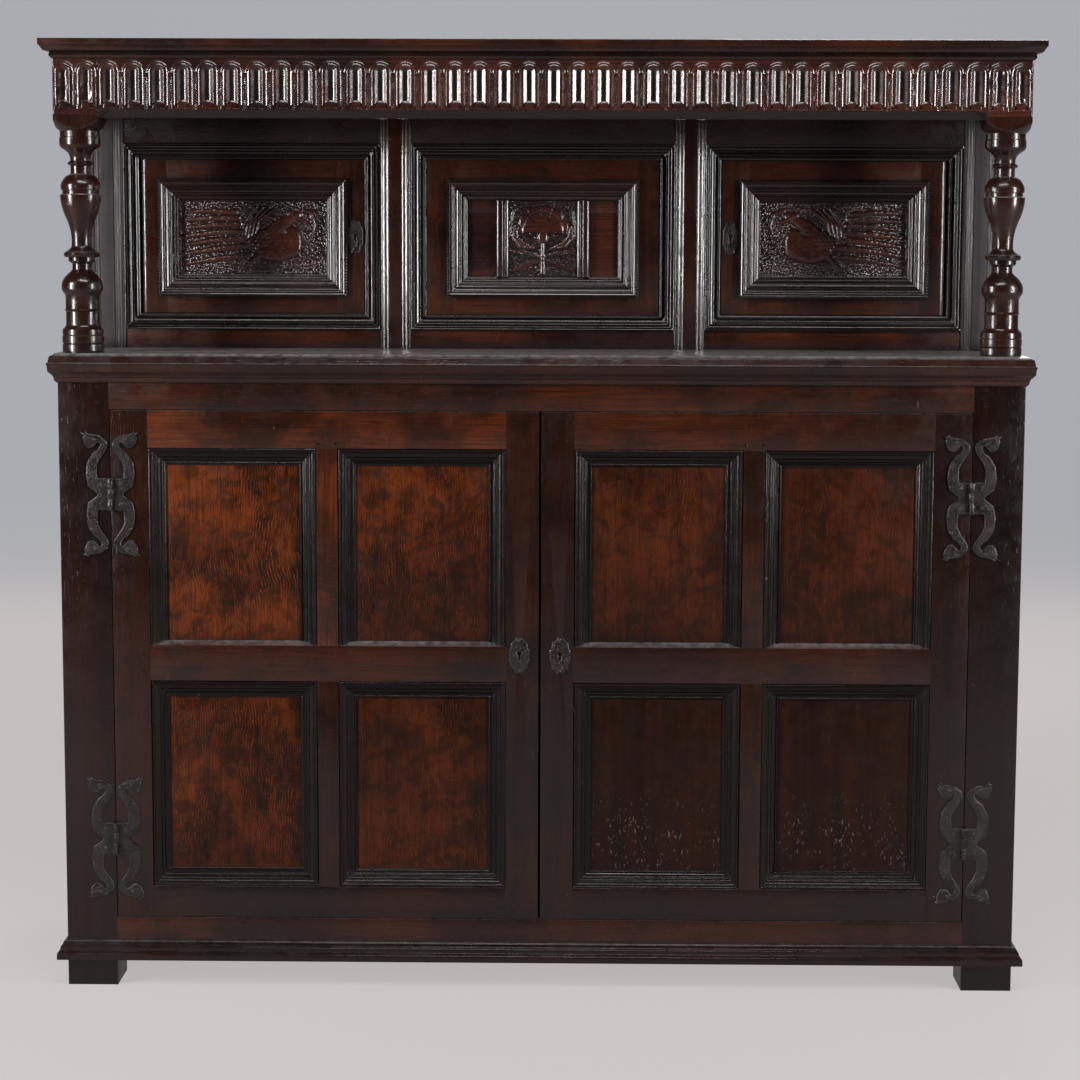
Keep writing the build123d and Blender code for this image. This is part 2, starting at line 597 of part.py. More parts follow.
def panel_set(x0, x1, z0, z1, y_face, side_margin, top_margin, bottom_margin):
    """Frame members, moulding limits and panel limits of an upper door or of the centre panel."""
    mould = (x0 + side_margin, x1 - side_margin, z0 + bottom_margin, z1 - top_margin)
    hole = (mould[0] + RAISED_MOULD_FLANGE, mould[1] - RAISED_MOULD_FLANGE,
            mould[2] + RAISED_MOULD_FLANGE, mould[3] - RAISED_MOULD_FLANGE)
    y_rear = y_face + UPPER_DOOR_THICKNESS
    stiles = [bar(x0, hole[0], y_face, y_rear, z0, z1), bar(hole[1], x1, y_face, y_rear, z0, z1)]
    rails = [rail_x(hole[0], hole[1], y_face, y_rear, z0, hole[2], SHORT_TENON_LENGTH),
             rail_x(hole[0], hole[1], y_face, y_rear, hole[3], z1, SHORT_TENON_LENGTH)]
    y_panel = y_face + CARVED_PANEL_SINK
    panel = bar(hole[0] - GROOVE_DEPTH, hole[1] + GROOVE_DEPTH, y_panel, y_panel + PANEL_THICKNESS,
                hole[2] - GROOVE_DEPTH, hole[3] + GROOVE_DEPTH)
    moulding = moulding_frame(raised_profile(), RAISED_MOULD_WIDTH, *mould, y_face)
    return stiles, rails, panel, moulding


def pivot_axis():
    """X and Y of the left-hand upper door's pivots: half a thickness in from edge and face."""
    hinge_edge = -upper_post_inner + SURROUND_WIDTH + DOOR_GAP
    return hinge_edge + UPPER_DOOR_THICKNESS / 2, y_upper + UPPER_DOOR_SETBACK + UPPER_DOOR_THICKNESS / 2


def upper_lock(x_edge, y_face):
    """Case, bolt, channel and keyhole of the left-hand upper door, and the pocket for the bolt."""
    case_x1 = x_edge - UPPER_LOCK_INSET
    case_x0 = case_x1 - UPPER_LOCK_CASE_WIDTH
    y_rear = y_face + UPPER_DOOR_THICKNESS
    y_case = y_rear - UPPER_LOCK_CASE_DEPTH
    y_bolt = y_case + (UPPER_LOCK_CASE_DEPTH - UPPER_BOLT_THICKNESS) / 2
    z_bolt = UPPER_LOCK_LEVEL - UPPER_LOCK_CASE_HEIGHT / 4 - UPPER_BOLT_HEIGHT / 2
    recess = bar(case_x0, case_x1, y_case, y_rear, UPPER_LOCK_LEVEL - UPPER_LOCK_CASE_HEIGHT / 2,
                 UPPER_LOCK_LEVEL + UPPER_LOCK_CASE_HEIGHT / 2)
    bolt = bar(case_x0 + UPPER_BOLT_THICKNESS, x_edge - 1, y_bolt, y_bolt + UPPER_BOLT_THICKNESS,
               z_bolt, z_bolt + UPPER_BOLT_HEIGHT)
    slide_y = (y_bolt - BOLT_FIT, y_bolt + UPPER_BOLT_THICKNESS + BOLT_FIT)
    slide_z = (z_bolt - BOLT_FIT, z_bolt + UPPER_BOLT_HEIGHT + BOLT_FIT)
    channel = bar(case_x0 + UPPER_BOLT_THICKNESS - BOLT_FIT, x_edge, *slide_y, *slide_z)
    pocket = bar(x_edge, x_edge + UPPER_BOLT_THROW + DOOR_GAP, *slide_y, *slide_z)
    key_x = (case_x0 + case_x1) / 2 + UPPER_KEY_OFFSET
    hole = keyhole(key_x, y_face, UPPER_LOCK_LEVEL, y_case - y_face + KEYHOLE_IN_CASE)
    return recess, bolt, channel, pocket, hole, key_x


def upper_door(name, side, opening):
    """One upper door, hung on iron pivots inside the moulded surround."""
    x0, x1 = opening[0] + DOOR_GAP, opening[1] - DOOR_GAP
    z0, z1 = opening[2] + DOOR_GAP, opening[3] - DOOR_GAP
    y_face = y_upper + UPPER_DOOR_SETBACK
    stiles, rails, panel, moulding = panel_set(x0, x1, z0, z1, y_face, UPPER_DOOR_SIDE, UPPER_DOOR_TOP,
                                               UPPER_DOOR_BOTTOM)
    recess, bolt, channel, pocket, hole, key_x = upper_lock(x1, y_face)
    pivot_x, pivot_y = pivot_axis()
    turn = UPPER_DOOR_THICKNESS / 2
    bores = [Pos(pivot_x, pivot_y, level) * Cylinder(PIVOT_RADIUS + PIVOT_FIT, 2 * PIVOT_LENGTH)
             for level in (z0, z1)]
    rounded = bar(pivot_x, stiles[0].bounding_box().max.X, y_face, y_face + UPPER_DOOR_THICKNESS, z0, z1)
    rounded = rounded + Pos(pivot_x, pivot_y, (z0 + z1) / 2) * Cylinder(turn, z1 - z0)
    lock_cuts = (recess, channel, hole)
    panel = cut(panel, *lock_cuts)
    hinge_stile = cut(rounded, *bores, *rails, panel)
    meeting_stile = cut(stiles[1], *rails, panel, *lock_cuts)
    rails = [cut(rail, panel, *lock_cuts) for rail in rails]
    width, height = UPPER_ESCUTCHEON_SIZE
    plate = escutcheon(key_x, y_face, UPPER_LOCK_LEVEL, (width, height), UPPER_ESCUTCHEON_LOBES)
    notch = escutcheon(key_x, y_face, UPPER_LOCK_LEVEL, (width + 2 * FACE_FIT, height + 2 * FACE_FIT),
                       UPPER_ESCUTCHEON_LOBES)
    keep(name + "_frame", *[mirrored(piece, side) for piece in [hinge_stile, meeting_stile] + rails])
    keep(name + "_moulding", mirrored(moulding - notch, side))
    keep(name + "_panel", mirrored(panel, side))
    keep(name + "_lock", mirrored(cut(recess, channel, hole), side), mirrored(plate, side))
    keep(name + "_bolt", mirrored(bolt, side))
    return mirrored(pocket, side)


def upper_pivots(opening, side):
    """The two iron pins: a square tang driven into the surround and a round end in the door."""
    pivot_x, pivot_y = pivot_axis()
    tang = PIVOT_TANG / 2
    pins = []
    for level, up in ((opening[2], 1), (opening[3], -1)):
        low, high = sorted((level, level + up * (DOOR_GAP + PIVOT_LENGTH - 1)))
        pin = Pos(pivot_x, pivot_y, (low + high) / 2) * Cylinder(PIVOT_RADIUS, high - low)
        low, high = sorted((level, level - up * PIVOT_LENGTH))
        pin = pin + bar(pivot_x - tang, pivot_x + tang, pivot_y - tang, pivot_y + tang, low, high)
        pins.append(mirrored(pin, side))
    return pins


def centre_panel(opening):
    """Fixed centre of the upper stage: frame, moulding, two boards and an applied boss."""
    x0, x1, z0, z1 = opening
    y_face = y_upper + UPPER_DOOR_SETBACK
    stiles, rails, panel, moulding = panel_set(x0, x1, z0, z1, y_face, CENTRE_PANEL_SIDE,
                                               UPPER_DOOR_TOP + DOOR_GAP, UPPER_DOOR_BOTTOM + DOOR_GAP)
    box = panel.bounding_box()
    joint = box.min.Z + (box.max.Z - box.min.Z) * CENTRE_JOINT
    lower_board = panel & bar(box.min.X, box.max.X, box.min.Y, box.max.Y, box.min.Z, joint - BOARD_GAP / 2)
    upper_board = panel & bar(box.min.X, box.max.X, box.min.Y, box.max.Y, joint + BOARD_GAP / 2, box.max.Z)
    keep("centre_panel_frame", *[cut(piece, *rails, panel) for piece in stiles],
         *[rail - panel for rail in rails])
    keep("centre_panel_moulding", moulding)
    keep("centre_panel_boards", lower_board, upper_board)
    inner_z0 = z0 + UPPER_DOOR_BOTTOM + DOOR_GAP + RAISED_MOULD_WIDTH
    inner_z1 = z1 - UPPER_DOOR_TOP - DOOR_GAP - RAISED_MOULD_WIDTH
    keep("centre_boss", extrude(Pos(0, 0, inner_z0) * boss_plan(y_face + CARVED_PANEL_SINK),
                                amount=inner_z1 - inner_z0))


def boss_plan(y_board):
    """Plan of the applied boss: a sunk field for carving between two moulded borders."""
    reach, top = BOSS_WIDTH / 2, y_board - BOSS_THICKNESS
    inner = reach - BOSS_BORDER
    right = [(reach, y_board), (reach, top + 4), ((reach - 3, top + 1), (reach - 9, top)),
             (reach - 12, top + 1), (reach - 12, top + 3), (inner + 6, top + 3),
             ((inner + 3, top), (inner, top + 2)), (inner, top + 5)]
    left = [(-inner, top + 5), (-inner, top + 2), ((-inner - 3, top), (-inner - 6, top + 3)),
            (-reach + 12, top + 3), (-reach + 12, top + 1), (-reach + 9, top),
            ((-reach + 3, top + 1), (-reach, top + 4)), (-reach, y_board)]
    return outline(*right, *left)


def bay_limits():
    """Outer limits of the three bays of the upper stage, left to right."""
    return {"left": (-upper_post_inner, -muntin_outer), "centre": (-muntin_inner, muntin_inner),
            "right": (muntin_outer, upper_post_inner)}


def upper_stage():
    """Posts, muntins, rails, surrounds, doors and centre panel of the set-back cupboard."""
    surrounds, pockets, pins = [], [], []
    rails = []
    openings = {}
    for bay, (x0, x1) in bay_limits().items():
        surrounds.append(moulding_frame(surround_profile(), SURROUND_WIDTH, x0, x1, z_bay, z_bay_top, y_upper))
        openings[bay] = (x0 + SURROUND_WIDTH, x1 - SURROUND_WIDTH, z_bay + SURROUND_WIDTH,
                         z_bay_top - SURROUND_WIDTH)
        y0 = y_upper + UPPER_RAIL_SETBACK
        y1 = y0 + UPPER_RAIL_THICKNESS
        rails.append(rail_x(x0, x1, y0, y1, z_ledge, z_bay, SHORT_TENON_LENGTH))
        rails.append(rail_x(x0, x1, y0, y1, z_bay_top, z_boards, SHORT_TENON_LENGTH))
    for name, side in SIDES.items():
        pockets.append(upper_door(f"{name}_upper_door", side, openings["left"]))
        pins += upper_pivots(openings["left"], side)
    centre_panel(openings["centre"])
    keep("upper_door_pivots", *pins)
    keep("bay_surrounds", *[cut(piece, *pockets, *pins) for piece in surrounds])
    keep("upper_front_rails", *rails)

    height = z_boards - z_ledge
    for name, side in SIDES.items():
        inner, outer = sorted((side * muntin_inner, side * muntin_outer))
        runs = reed_run(inner, MUNTIN_REEDS) + reed_run(outer - sum(MUNTIN_REEDS), MUNTIN_REEDS[::-1])
        plan = reeded_section(inner, outer, y_upper, y_upper + MUNTIN_DEPTH, runs)
        keep(f"upper_muntin_{name}", cut(extrude(Pos(0, 0, z_ledge) * plan, amount=height), *rails))

        runs = reed_run(upper_post_inner + POST_REED_MARGIN, POST_REEDS) + reed_run(half - 36, POST_REEDS[:2])
        plan = reeded_section(upper_post_inner, half, y_upper, y_upper + UPPER_POST_DEPTH, runs)
        post = mirrored(extrude(Pos(0, 0, z_ledge) * plan, amount=height), -side)
        keep(f"upper_front_post_{name}", cut(post, *rails, *side_rails(side), *side_panels(side),
                                             *frieze_side_rail(side)))


# ---- side framing -----------------------------------------------------------------------------------

def side_spans():
    """Front and back limits of the side rails, below and above the mid board."""
    back = y_back - BACK_POST_DEPTH
    return (y_front + POST_DEPTH, back), (y_upper + UPPER_POST_DEPTH, back)


def side_levels():
    """Each side rail as (lower stage or not, bottom, top)."""
    mid, low = SIDE_MID_RAIL_LEVEL, SIDE_UPPER_BOTTOM_RAIL_HEIGHT
    return [(True, z_rail, z_opening), (True, mid, mid + SIDE_MID_RAIL_HEIGHT), (True, z_opening_top, z_mid),
            (False, z_ledge, z_ledge + low), (False, z_bay_top, z_boards)]


def side_rails(side):
    """The five rails of one side."""
    x0, x1 = sorted((side * (half - SIDE_RAIL_THICKNESS), side * half))
    lower, upper = side_spans()
    rails = []
    for is_lower, z0, z1 in side_levels():
        y0, y1 = lower if is_lower else upper
        rails.append(rail_y(x0, x1, y0, y1, z0, z1, TENON_LENGTH if is_lower else UPPER_SIDE_TENON_LENGTH))
    return rails


def side_panels(side):
    """The three panels of one side, set in grooves."""
    centre = half - SIDE_RAIL_THICKNESS / 2
    levels = side_levels()
    lower, upper = side_spans()
    panels = []
    for (y0, y1), below, above in ((lower, levels[0], levels[1]), (lower, levels[1], levels[2]),
                                   (upper, levels[3], levels[4])):
        panels.append(beam(side, centre - PANEL_THICKNESS / 2, centre + PANEL_THICKNESS / 2,
                           y0 - GROOVE_DEPTH, y1 + GROOVE_DEPTH, below[2] - GROOVE_DEPTH,
                           above[1] + GROOVE_DEPTH))
    return panels


def frieze_side_rail(side):
    """Rail from the corner block back to the upper post."""
    x0, x1 = sorted((side * (half - FRIEZE_THICKNESS), side * half))
    return [rail_y(x0, x1, block_back, y_upper, z_frieze, z_boards, SHORT_TENON_LENGTH)]


# ---- columns and frieze -------------------------------------------------------------------------------

def column_profile():
    """Half section of the turned column, from its dowel up into the square block."""
    z = z_ledge
    pommel = z_frieze - BLOCK_DROP
    diagonal = BLOCK_SIZE / math.sqrt(2) + 1
    dowel = [(0, z - COLUMN_DOWEL_LENGTH), (COLUMN_DOWEL_RADIUS, z - COLUMN_DOWEL_LENGTH),
             (COLUMN_DOWEL_RADIUS, z)]
    foot = [(35, z), (35, z + 39.5), (28.6, z + 50), (28.6, z + 95.6)]
    cup = [(35, z + 110), ((30.6, z + 128), (16.6, z + 140)), (16.6, z + 151), (29.8, z + 162),
           (29.8, z + 169.6)]
    vase = [(17, z + 180), ((18, z + 202), (25.6, z + 228)), (34.9, z + 267), ((32, z + 284), (25.2, z + 298))]
    neck = [(16.8, z + 302), (16.8, z + 315), (22.2, z + 319.5), (16.8, z + 324), (25.6, z + 341.6)]
    head = [(34.8, z + 350), (34.8, pommel), (diagonal, pommel + 17), (diagonal, z_boards), (0, z_boards)]
    return outline(*dowel, *foot, *cup, *vase, *neck, *head)


def column(side):
    """Square corner block and turned baluster in one piece, dowelled into the mid board."""
    place = Pos(side * column_x, column_y, 0)
    turned = revolve(Plane.XZ * column_profile(), Axis.Z)
    reach = BLOCK_SIZE / 2
    block = bar(-reach, reach, -reach, reach, z_ledge - COLUMN_DOWEL_LENGTH, z_boards)
    return place * (turned & block)


def column_socket(side):
    """Round mortise in the mid board for the column's dowel."""
    return Pos(side * column_x, column_y, z_ledge - COLUMN_DOWEL_LENGTH / 2) * Cylinder(
        COLUMN_DOWEL_RADIUS + PIVOT_FIT, COLUMN_DOWEL_LENGTH)


def frieze_rail():
    """Front rail between the blocks, its lower edge chamfered between ogee stops."""
    rail = rail_x(-block_inner, block_inner, y_front, y_front + FRIEZE_THICKNESS, z_frieze, z_boards)
    height, depth = FRIEZE_CHAMFER, FRIEZE_CHAMFER_DEPTH
    slope = height / depth
    section = Plane(origin=(-block_inner, y_front, z_frieze), x_dir=(0, 1, 0), z_dir=(1, 0, 0))
    wedge = extrude(section * outline((-1, height + slope), (-1, -1), (depth + 1 / slope, -1)),
                    amount=2 * block_inner)
    start, end = block_inner - 2, block_inner - FRIEZE_STOP
    middle = (start + end) / 2
    right = [(end, height + 1), ((end + 3, height - 2), (middle, height / 2)), ((start - 3, 2), (start, 0)),
             (start, -2)]
    left = [(-start, -2), (-start, 0), ((-start + 3, 2), (-middle, height / 2)),
            ((-end - 3, height - 2), (-end, height + 1))]
    face = Plane(origin=(0, y_front + depth + 5, z_frieze), x_dir=(1, 0, 0), z_dir=(0, -1, 0))
    region = extrude(face * outline(*right, *left), amount=depth + 10)
    return rail - (wedge & region)


def canopy():
    """Columns, frieze rails, cornice and top boards."""
    front = frieze_rail()
    for side in SIDES.values():
        keep("turned_columns", cut(column(side), front, *frieze_side_rail(side)))
        keep("frieze_side_rails", *frieze_side_rail(side))
    keep("frieze_front_rail", front)
    keep("cornice_moulding", *case_moulding(cornice_profile(), z_boards, CORNICE_SEAT, CORNICE_OVERHANG),
         *case_moulding(cornice_bead_profile(), z_boards, 0, CORNICE_BEAD_PROJECTION))
    y0 = y_front + CORNICE_SEAT
    width = (y_back - y0) / TOP_BOARD_COUNT
    for n in range(TOP_BOARD_COUNT):
        joint = BOARD_GAP if n < TOP_BOARD_COUNT - 1 else 0
        keep("top_boards", bar(-half + CORNICE_SEAT, half - CORNICE_SEAT, y0 + n * width,
                               y0 + (n + 1) * width - joint, z_boards, z_top))


# ---- lower case -----------------------------------------------------------------------------------------

def back_post(side):
    """Rear post from the floor to the top boards."""
    return beam(side, half - BACK_POST_WIDTH, half, y_back - BACK_POST_DEPTH, y_back, 0, z_boards)


def back_rails():
    """Three rails between the back posts, in front of the back boards."""
    reach = half - BACK_POST_WIDTH
    y1 = y_back - BACK_BOARD_THICKNESS
    levels = [z_rail + BACK_RAIL_HEIGHT / 2, z_mid - BACK_RAIL_HEIGHT / 2, z_boards - BACK_RAIL_HEIGHT / 2]
    return [rail_x(-reach, reach, y_back_rail, y1, z - BACK_RAIL_HEIGHT / 2, z + BACK_RAIL_HEIGHT / 2)
            for z in levels]


def mid_board():
    """Thick board over the lower case: two boards with one moulded edge round front and ends."""
    reach = half - MID_BOARD_EDGE
    core = bar(-reach, reach, y_front + MID_BOARD_EDGE, y_back - BACK_BOARD_THICKNESS, z_mid, z_ledge)
    board = core
    for edge in case_moulding(nosing_profile(), z_mid, MID_BOARD_EDGE, MID_BOARD_OVERHANG):
        board = board + edge
    back_strip = bar(-half - MID_BOARD_OVERHANG, half + MID_BOARD_OVERHANG, y_back - BACK_BOARD_THICKNESS,
                     y_back, z_mid, z_ledge)
    board = cut(board, back_post(-1), back_post(1), column_socket(-1), column_socket(1), back_strip)
    joint = y_upper + MUNTIN_DEPTH + BEARER_SIZE
    wide = half + MID_BOARD_OVERHANG
    front_half = board & bar(-wide, wide, y_front - MID_BOARD_OVERHANG, joint, z_mid, z_ledge)
    rear_half = board & bar(-wide, wide, joint + BOARD_GAP, y_back, z_mid, z_ledge)
    return front_half, rear_half


def lower_case():
    """Posts, rails, panels, boards and mouldings up to the mid board."""
    rail_back = y_front + FRONT_RAIL_THICKNESS
    front_rails = [rail_x(-opening_half, opening_half, y_front, rail_back, z0, z1)
                   for z0, z1 in ((z_rail, z_opening), (z_opening_top, z_mid))]
    rear_rails = back_rails()
    keep("lower_front_rails", *front_rails)
    keep("back_rails", *rear_rails)
    for name, side in SIDES.items():
        rails, panels = side_rails(side), side_panels(side)
        front_post = beam(side, opening_half, half, y_front, y_front + POST_DEPTH, 0, z_mid)
        keep(f"lower_front_post_{name}", cut(front_post, *front_rails, *rails[:3], *panels[:2]))
        keep(f"back_post_{name}", cut(back_post(side), *rear_rails, *rails, *panels))
        keep("side_rails", *[cut(rail, *panels) for rail in rails])
        keep("side_panels", *panels)
    keep("mid_board", *mid_board())
    keep("mid_board_moulding", *case_moulding(bed_profile(), z_mid, 0, BED_MOULD_PROJECTION))
    keep("base_moulding", *case_moulding(base_profile(), z_rail, 0, BASE_MOULD_PROJECTION))

    inside = half - SIDE_RAIL_THICKNESS
    posts = [beam(side, opening_half, half, y_front, y_front + POST_DEPTH, 0, z_mid) for side in (-1, 1)]
    posts += [back_post(side) for side in (-1, 1)]
    floor_y = (y_front + FRONT_RAIL_THICKNESS, y_back_rail)
    shelf_y = (y_front + DOOR_THICKNESS + 1, y_back - BACK_BOARD_THICKNESS)
    for node, (y0, y1), z1, thickness in (("floor_boards", floor_y, z_opening, FLOOR_THICKNESS),
                                          ("shelf_boards", shelf_y, SHELF_LEVEL, SHELF_THICKNESS)):
        width = (y1 - y0) / 2
        for n in range(2):
            board = bar(-inside, inside, y0 + n * width + BOARD_GAP * n, y0 + (n + 1) * width,
                        z1 - thickness, z1)
            keep(node, cut(board, *posts))
    for side in (-1, 1):
        for z1 in (z_opening - FLOOR_THICKNESS, SHELF_LEVEL - SHELF_THICKNESS):
            keep("shelf_bearers", beam(side, inside - BEARER_SIZE, inside, y_front + POST_DEPTH,
                                       y_back - BACK_POST_DEPTH, z1 - BEARER_SIZE, z1))

    reach = half - BACK_POST_WIDTH
    width = 2 * reach / BACK_BOARD_COUNT
    for n in range(BACK_BOARD_COUNT):
        x0 = -reach + n * width
        keep("back_boards", bar(x0, x0 + width - BOARD_GAP * (n < BACK_BOARD_COUNT - 1),
                                y_back - BACK_BOARD_THICKNESS, y_back, z_rail, z_boards))


lower_case()
canopy()
upper_stage()
lower_hinges()
for door, side_sign in SIDES.items():
    lower_door(f"{door}_lower_door", side_sign)

os.makedirs("parts", exist_ok=True)
for node, solids in pieces.items():
    export_step(solids[0] if len(solids) == 1 else Compound(solids), f"parts/{node}.step")
    print(node, len(solids))
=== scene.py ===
import json
import math
import random

import bmesh
import bpy
from mathutils import Matrix, Vector, noise


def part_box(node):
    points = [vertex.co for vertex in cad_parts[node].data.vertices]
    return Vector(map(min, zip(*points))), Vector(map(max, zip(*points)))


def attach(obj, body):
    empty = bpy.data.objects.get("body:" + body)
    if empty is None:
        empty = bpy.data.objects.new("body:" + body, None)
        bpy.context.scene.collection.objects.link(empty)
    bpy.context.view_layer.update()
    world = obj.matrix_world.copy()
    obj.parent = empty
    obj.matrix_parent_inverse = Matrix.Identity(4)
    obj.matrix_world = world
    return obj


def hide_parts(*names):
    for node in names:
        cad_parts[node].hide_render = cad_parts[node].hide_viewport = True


# Court cupboard in dark waxed oak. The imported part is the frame: every timber is a worn copy of
# its node, and carving, pegs and nails are added. Metres; X right, Y back, Z up.

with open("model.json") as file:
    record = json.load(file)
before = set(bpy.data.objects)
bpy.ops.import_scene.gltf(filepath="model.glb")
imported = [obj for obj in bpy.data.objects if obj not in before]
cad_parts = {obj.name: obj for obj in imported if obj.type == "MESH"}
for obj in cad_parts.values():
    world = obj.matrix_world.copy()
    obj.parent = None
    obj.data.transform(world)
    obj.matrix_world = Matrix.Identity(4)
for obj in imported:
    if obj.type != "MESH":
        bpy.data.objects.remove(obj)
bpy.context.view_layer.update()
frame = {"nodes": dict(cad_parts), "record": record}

MM = 0.001
SIDES = {"left": -1, "right": 1}

# ---- camera: 86 mm lens, 4.65 m in front of the middle of the cupboard -------------------------
CAMERA_PLACE = (0.0585, -4.647, 1.3108)
CAMERA_PITCH = 6.833           # degrees down
CAMERA_YAW = -0.764            # degrees, towards the left
CAMERA_ROLL = 0.196
CAMERA_LENS = 86.35

# ---- colours (linear) --------------------------------------------------------------------------
FRAME_TONES = ((0.0060, 0.0034, 0.0026), (0.0210, 0.0062, 0.0032), (0.1350, 0.0270, 0.0065))
MOULDED_TONES = ((0.0050, 0.0034, 0.0028), (0.0160, 0.0062, 0.0040), (0.0700, 0.0180, 0.0070))
PANEL_TONES = ((0.0110, 0.0045, 0.0025), (0.0400, 0.0090, 0.0030), (0.2300, 0.0450, 0.0080))
CARVED_TONES = ((0.0065, 0.0040, 0.0034), (0.0260, 0.0085, 0.0055), (0.1600, 0.0400, 0.0230))
# Greyish wax bloom for the upper front posts, pale enough to stand also for the sheen of the lamps
# on their faces: partly a painted sheen.
BLOOM_AND_SHEEN_TONES = ((0.0420, 0.0360, 0.0370), (0.0820, 0.0720, 0.0750), (0.1200, 0.1000, 0.1000))
DRY_TONES = ((0.060, 0.038, 0.024), (0.120, 0.080, 0.052), (0.190, 0.135, 0.090))
WORN_OAK = (0.120, 0.056, 0.032)
SCRATCHED_OAK = (0.200, 0.120, 0.080)
SCUFFED_OAK = (0.200, 0.170, 0.150)
# Near-black of dirt in the pores, also used for painted shade in corners and for the darker valleys
# of the reeds.
DIRT_AND_SHADE = (0.0050, 0.0042, 0.0040)
# Pale dust on faces that look up, bright enough to paint also the grazing sheen of light on the
# ledge: partly painted sheen.
DUST_AND_SHEEN = (0.420, 0.410, 0.405)
IRON_TONES = ((0.008, 0.006, 0.0055), (0.034, 0.024, 0.021))
RUST = (0.085, 0.045, 0.030)
IRON_PITS = (0.008, 0.007, 0.007)
# Rubbed iron on the edges, pale enough to stand also for the edges' highlights: partly a painted
# highlight.
RUBBED_IRON_AND_HIGHLIGHT = (0.34, 0.31, 0.29)
PAPER_GLOW = ((0.60, 0.555, 0.555), (0.41, 0.42, 0.45))    # near, and up the backdrop
PAPER_TONES = ((0.17, 0.16, 0.16), (0.30, 0.31, 0.33))
MIRRORED_GLOW = 0.3            # share of the paper's glow that wax and iron mirror

# ---- carving -----------------------------------------------------------------------------------
CARVING_STEP = 0.7 * MM
REED_PITCH = 5.3 * MM          # of the fine ridges on the mouldings
FLUTE_COUNT = 36
FLUTE_PITCH = 41.47            # millimetres, as is all that follows for the carving
BLOCK_FLUTE_PITCH = 37.6
GOUGE_HALF_WIDTH = 10.2
GOUGE_SLOPE = 0.62             # of the gouge's straight walls, which catch the light
GOUGE_HOLLOW = 5.2             # half width of its round bottom
GOUGE_SPRING = 77.0            # heights over the lower edge of the frieze
LUNETTE_LEVEL = 18.0
LUNETTE_RADIUS = 11.0
ARCH_SPRING = 75.0
ARCH_RADII = (15.2, 19.4)
CHANNEL_HALF_WIDTH = 3.6
CHANNEL_ENDS = (14.0, 68.0)
FLUTED_FROM = 13.6             # the chamfer of the rail ends below this
BLOCK_FLUTED_FROM = 5.0
BLOCK_FLUTES = 2               # on each of the two corner blocks
PANEL_GROUND = 5.0             # depth of the ground round the carved birds
PUNCH_PITCH = 4.2
BOSS_RELIEF = 4.8
BOSS_BORDER = 22.0
BOSS_FIELD = 5.0               # the field inside that border, behind the boss's face

# ---- timbers, pegs and nails, in metres --------------------------------------------------------
OAK_ROUNDING = 0.8 * MM
HINGE_ROUNDING = 0.7 * MM
IRON_ROUNDING = 0.35 * MM
ROUNDED_FROM = 40              # degrees that an edge of a timber turns by, at least
RING_ROUNDED_FROM = 30
SAME_PLANE = 0.05 * MM
BLOCK_WIDTH = 0.076            # carved width of a corner block
BLOCK_SINK = 7.0 * MM          # the turned block's front, behind its carved face
PANEL_HIDDEN = 0.028           # edge of a carved panel that its moulding covers
DOOR_GAP = 1.5 * MM
MIDDLE_RAIL_LEVEL = 0.567      # middle of the lower doors' middle rails
BRIGHT_MUNTIN_X = -0.352       # of the upper muntin of the left lower door
PEG_RADIUS = 4.0 * MM
DOOR_PEG_RADIUS = 3.4 * MM
PEG_RISE = 0.5 * MM
NAIL_RADIUS = 3.0 * MM
NAIL_RISE = 1.7 * MM
KNUCKLE_RADIUS = 4.5 * MM
LEAF_FACE = 6.8 * MM           # the hinge leaves' face, behind the front of their knuckles
HINGE_HALF_HEIGHT = 108 * MM
ESCUTCHEON_NAIL_INSET = 5 * MM


# ---- material helpers --------------------------------------------------------------------------

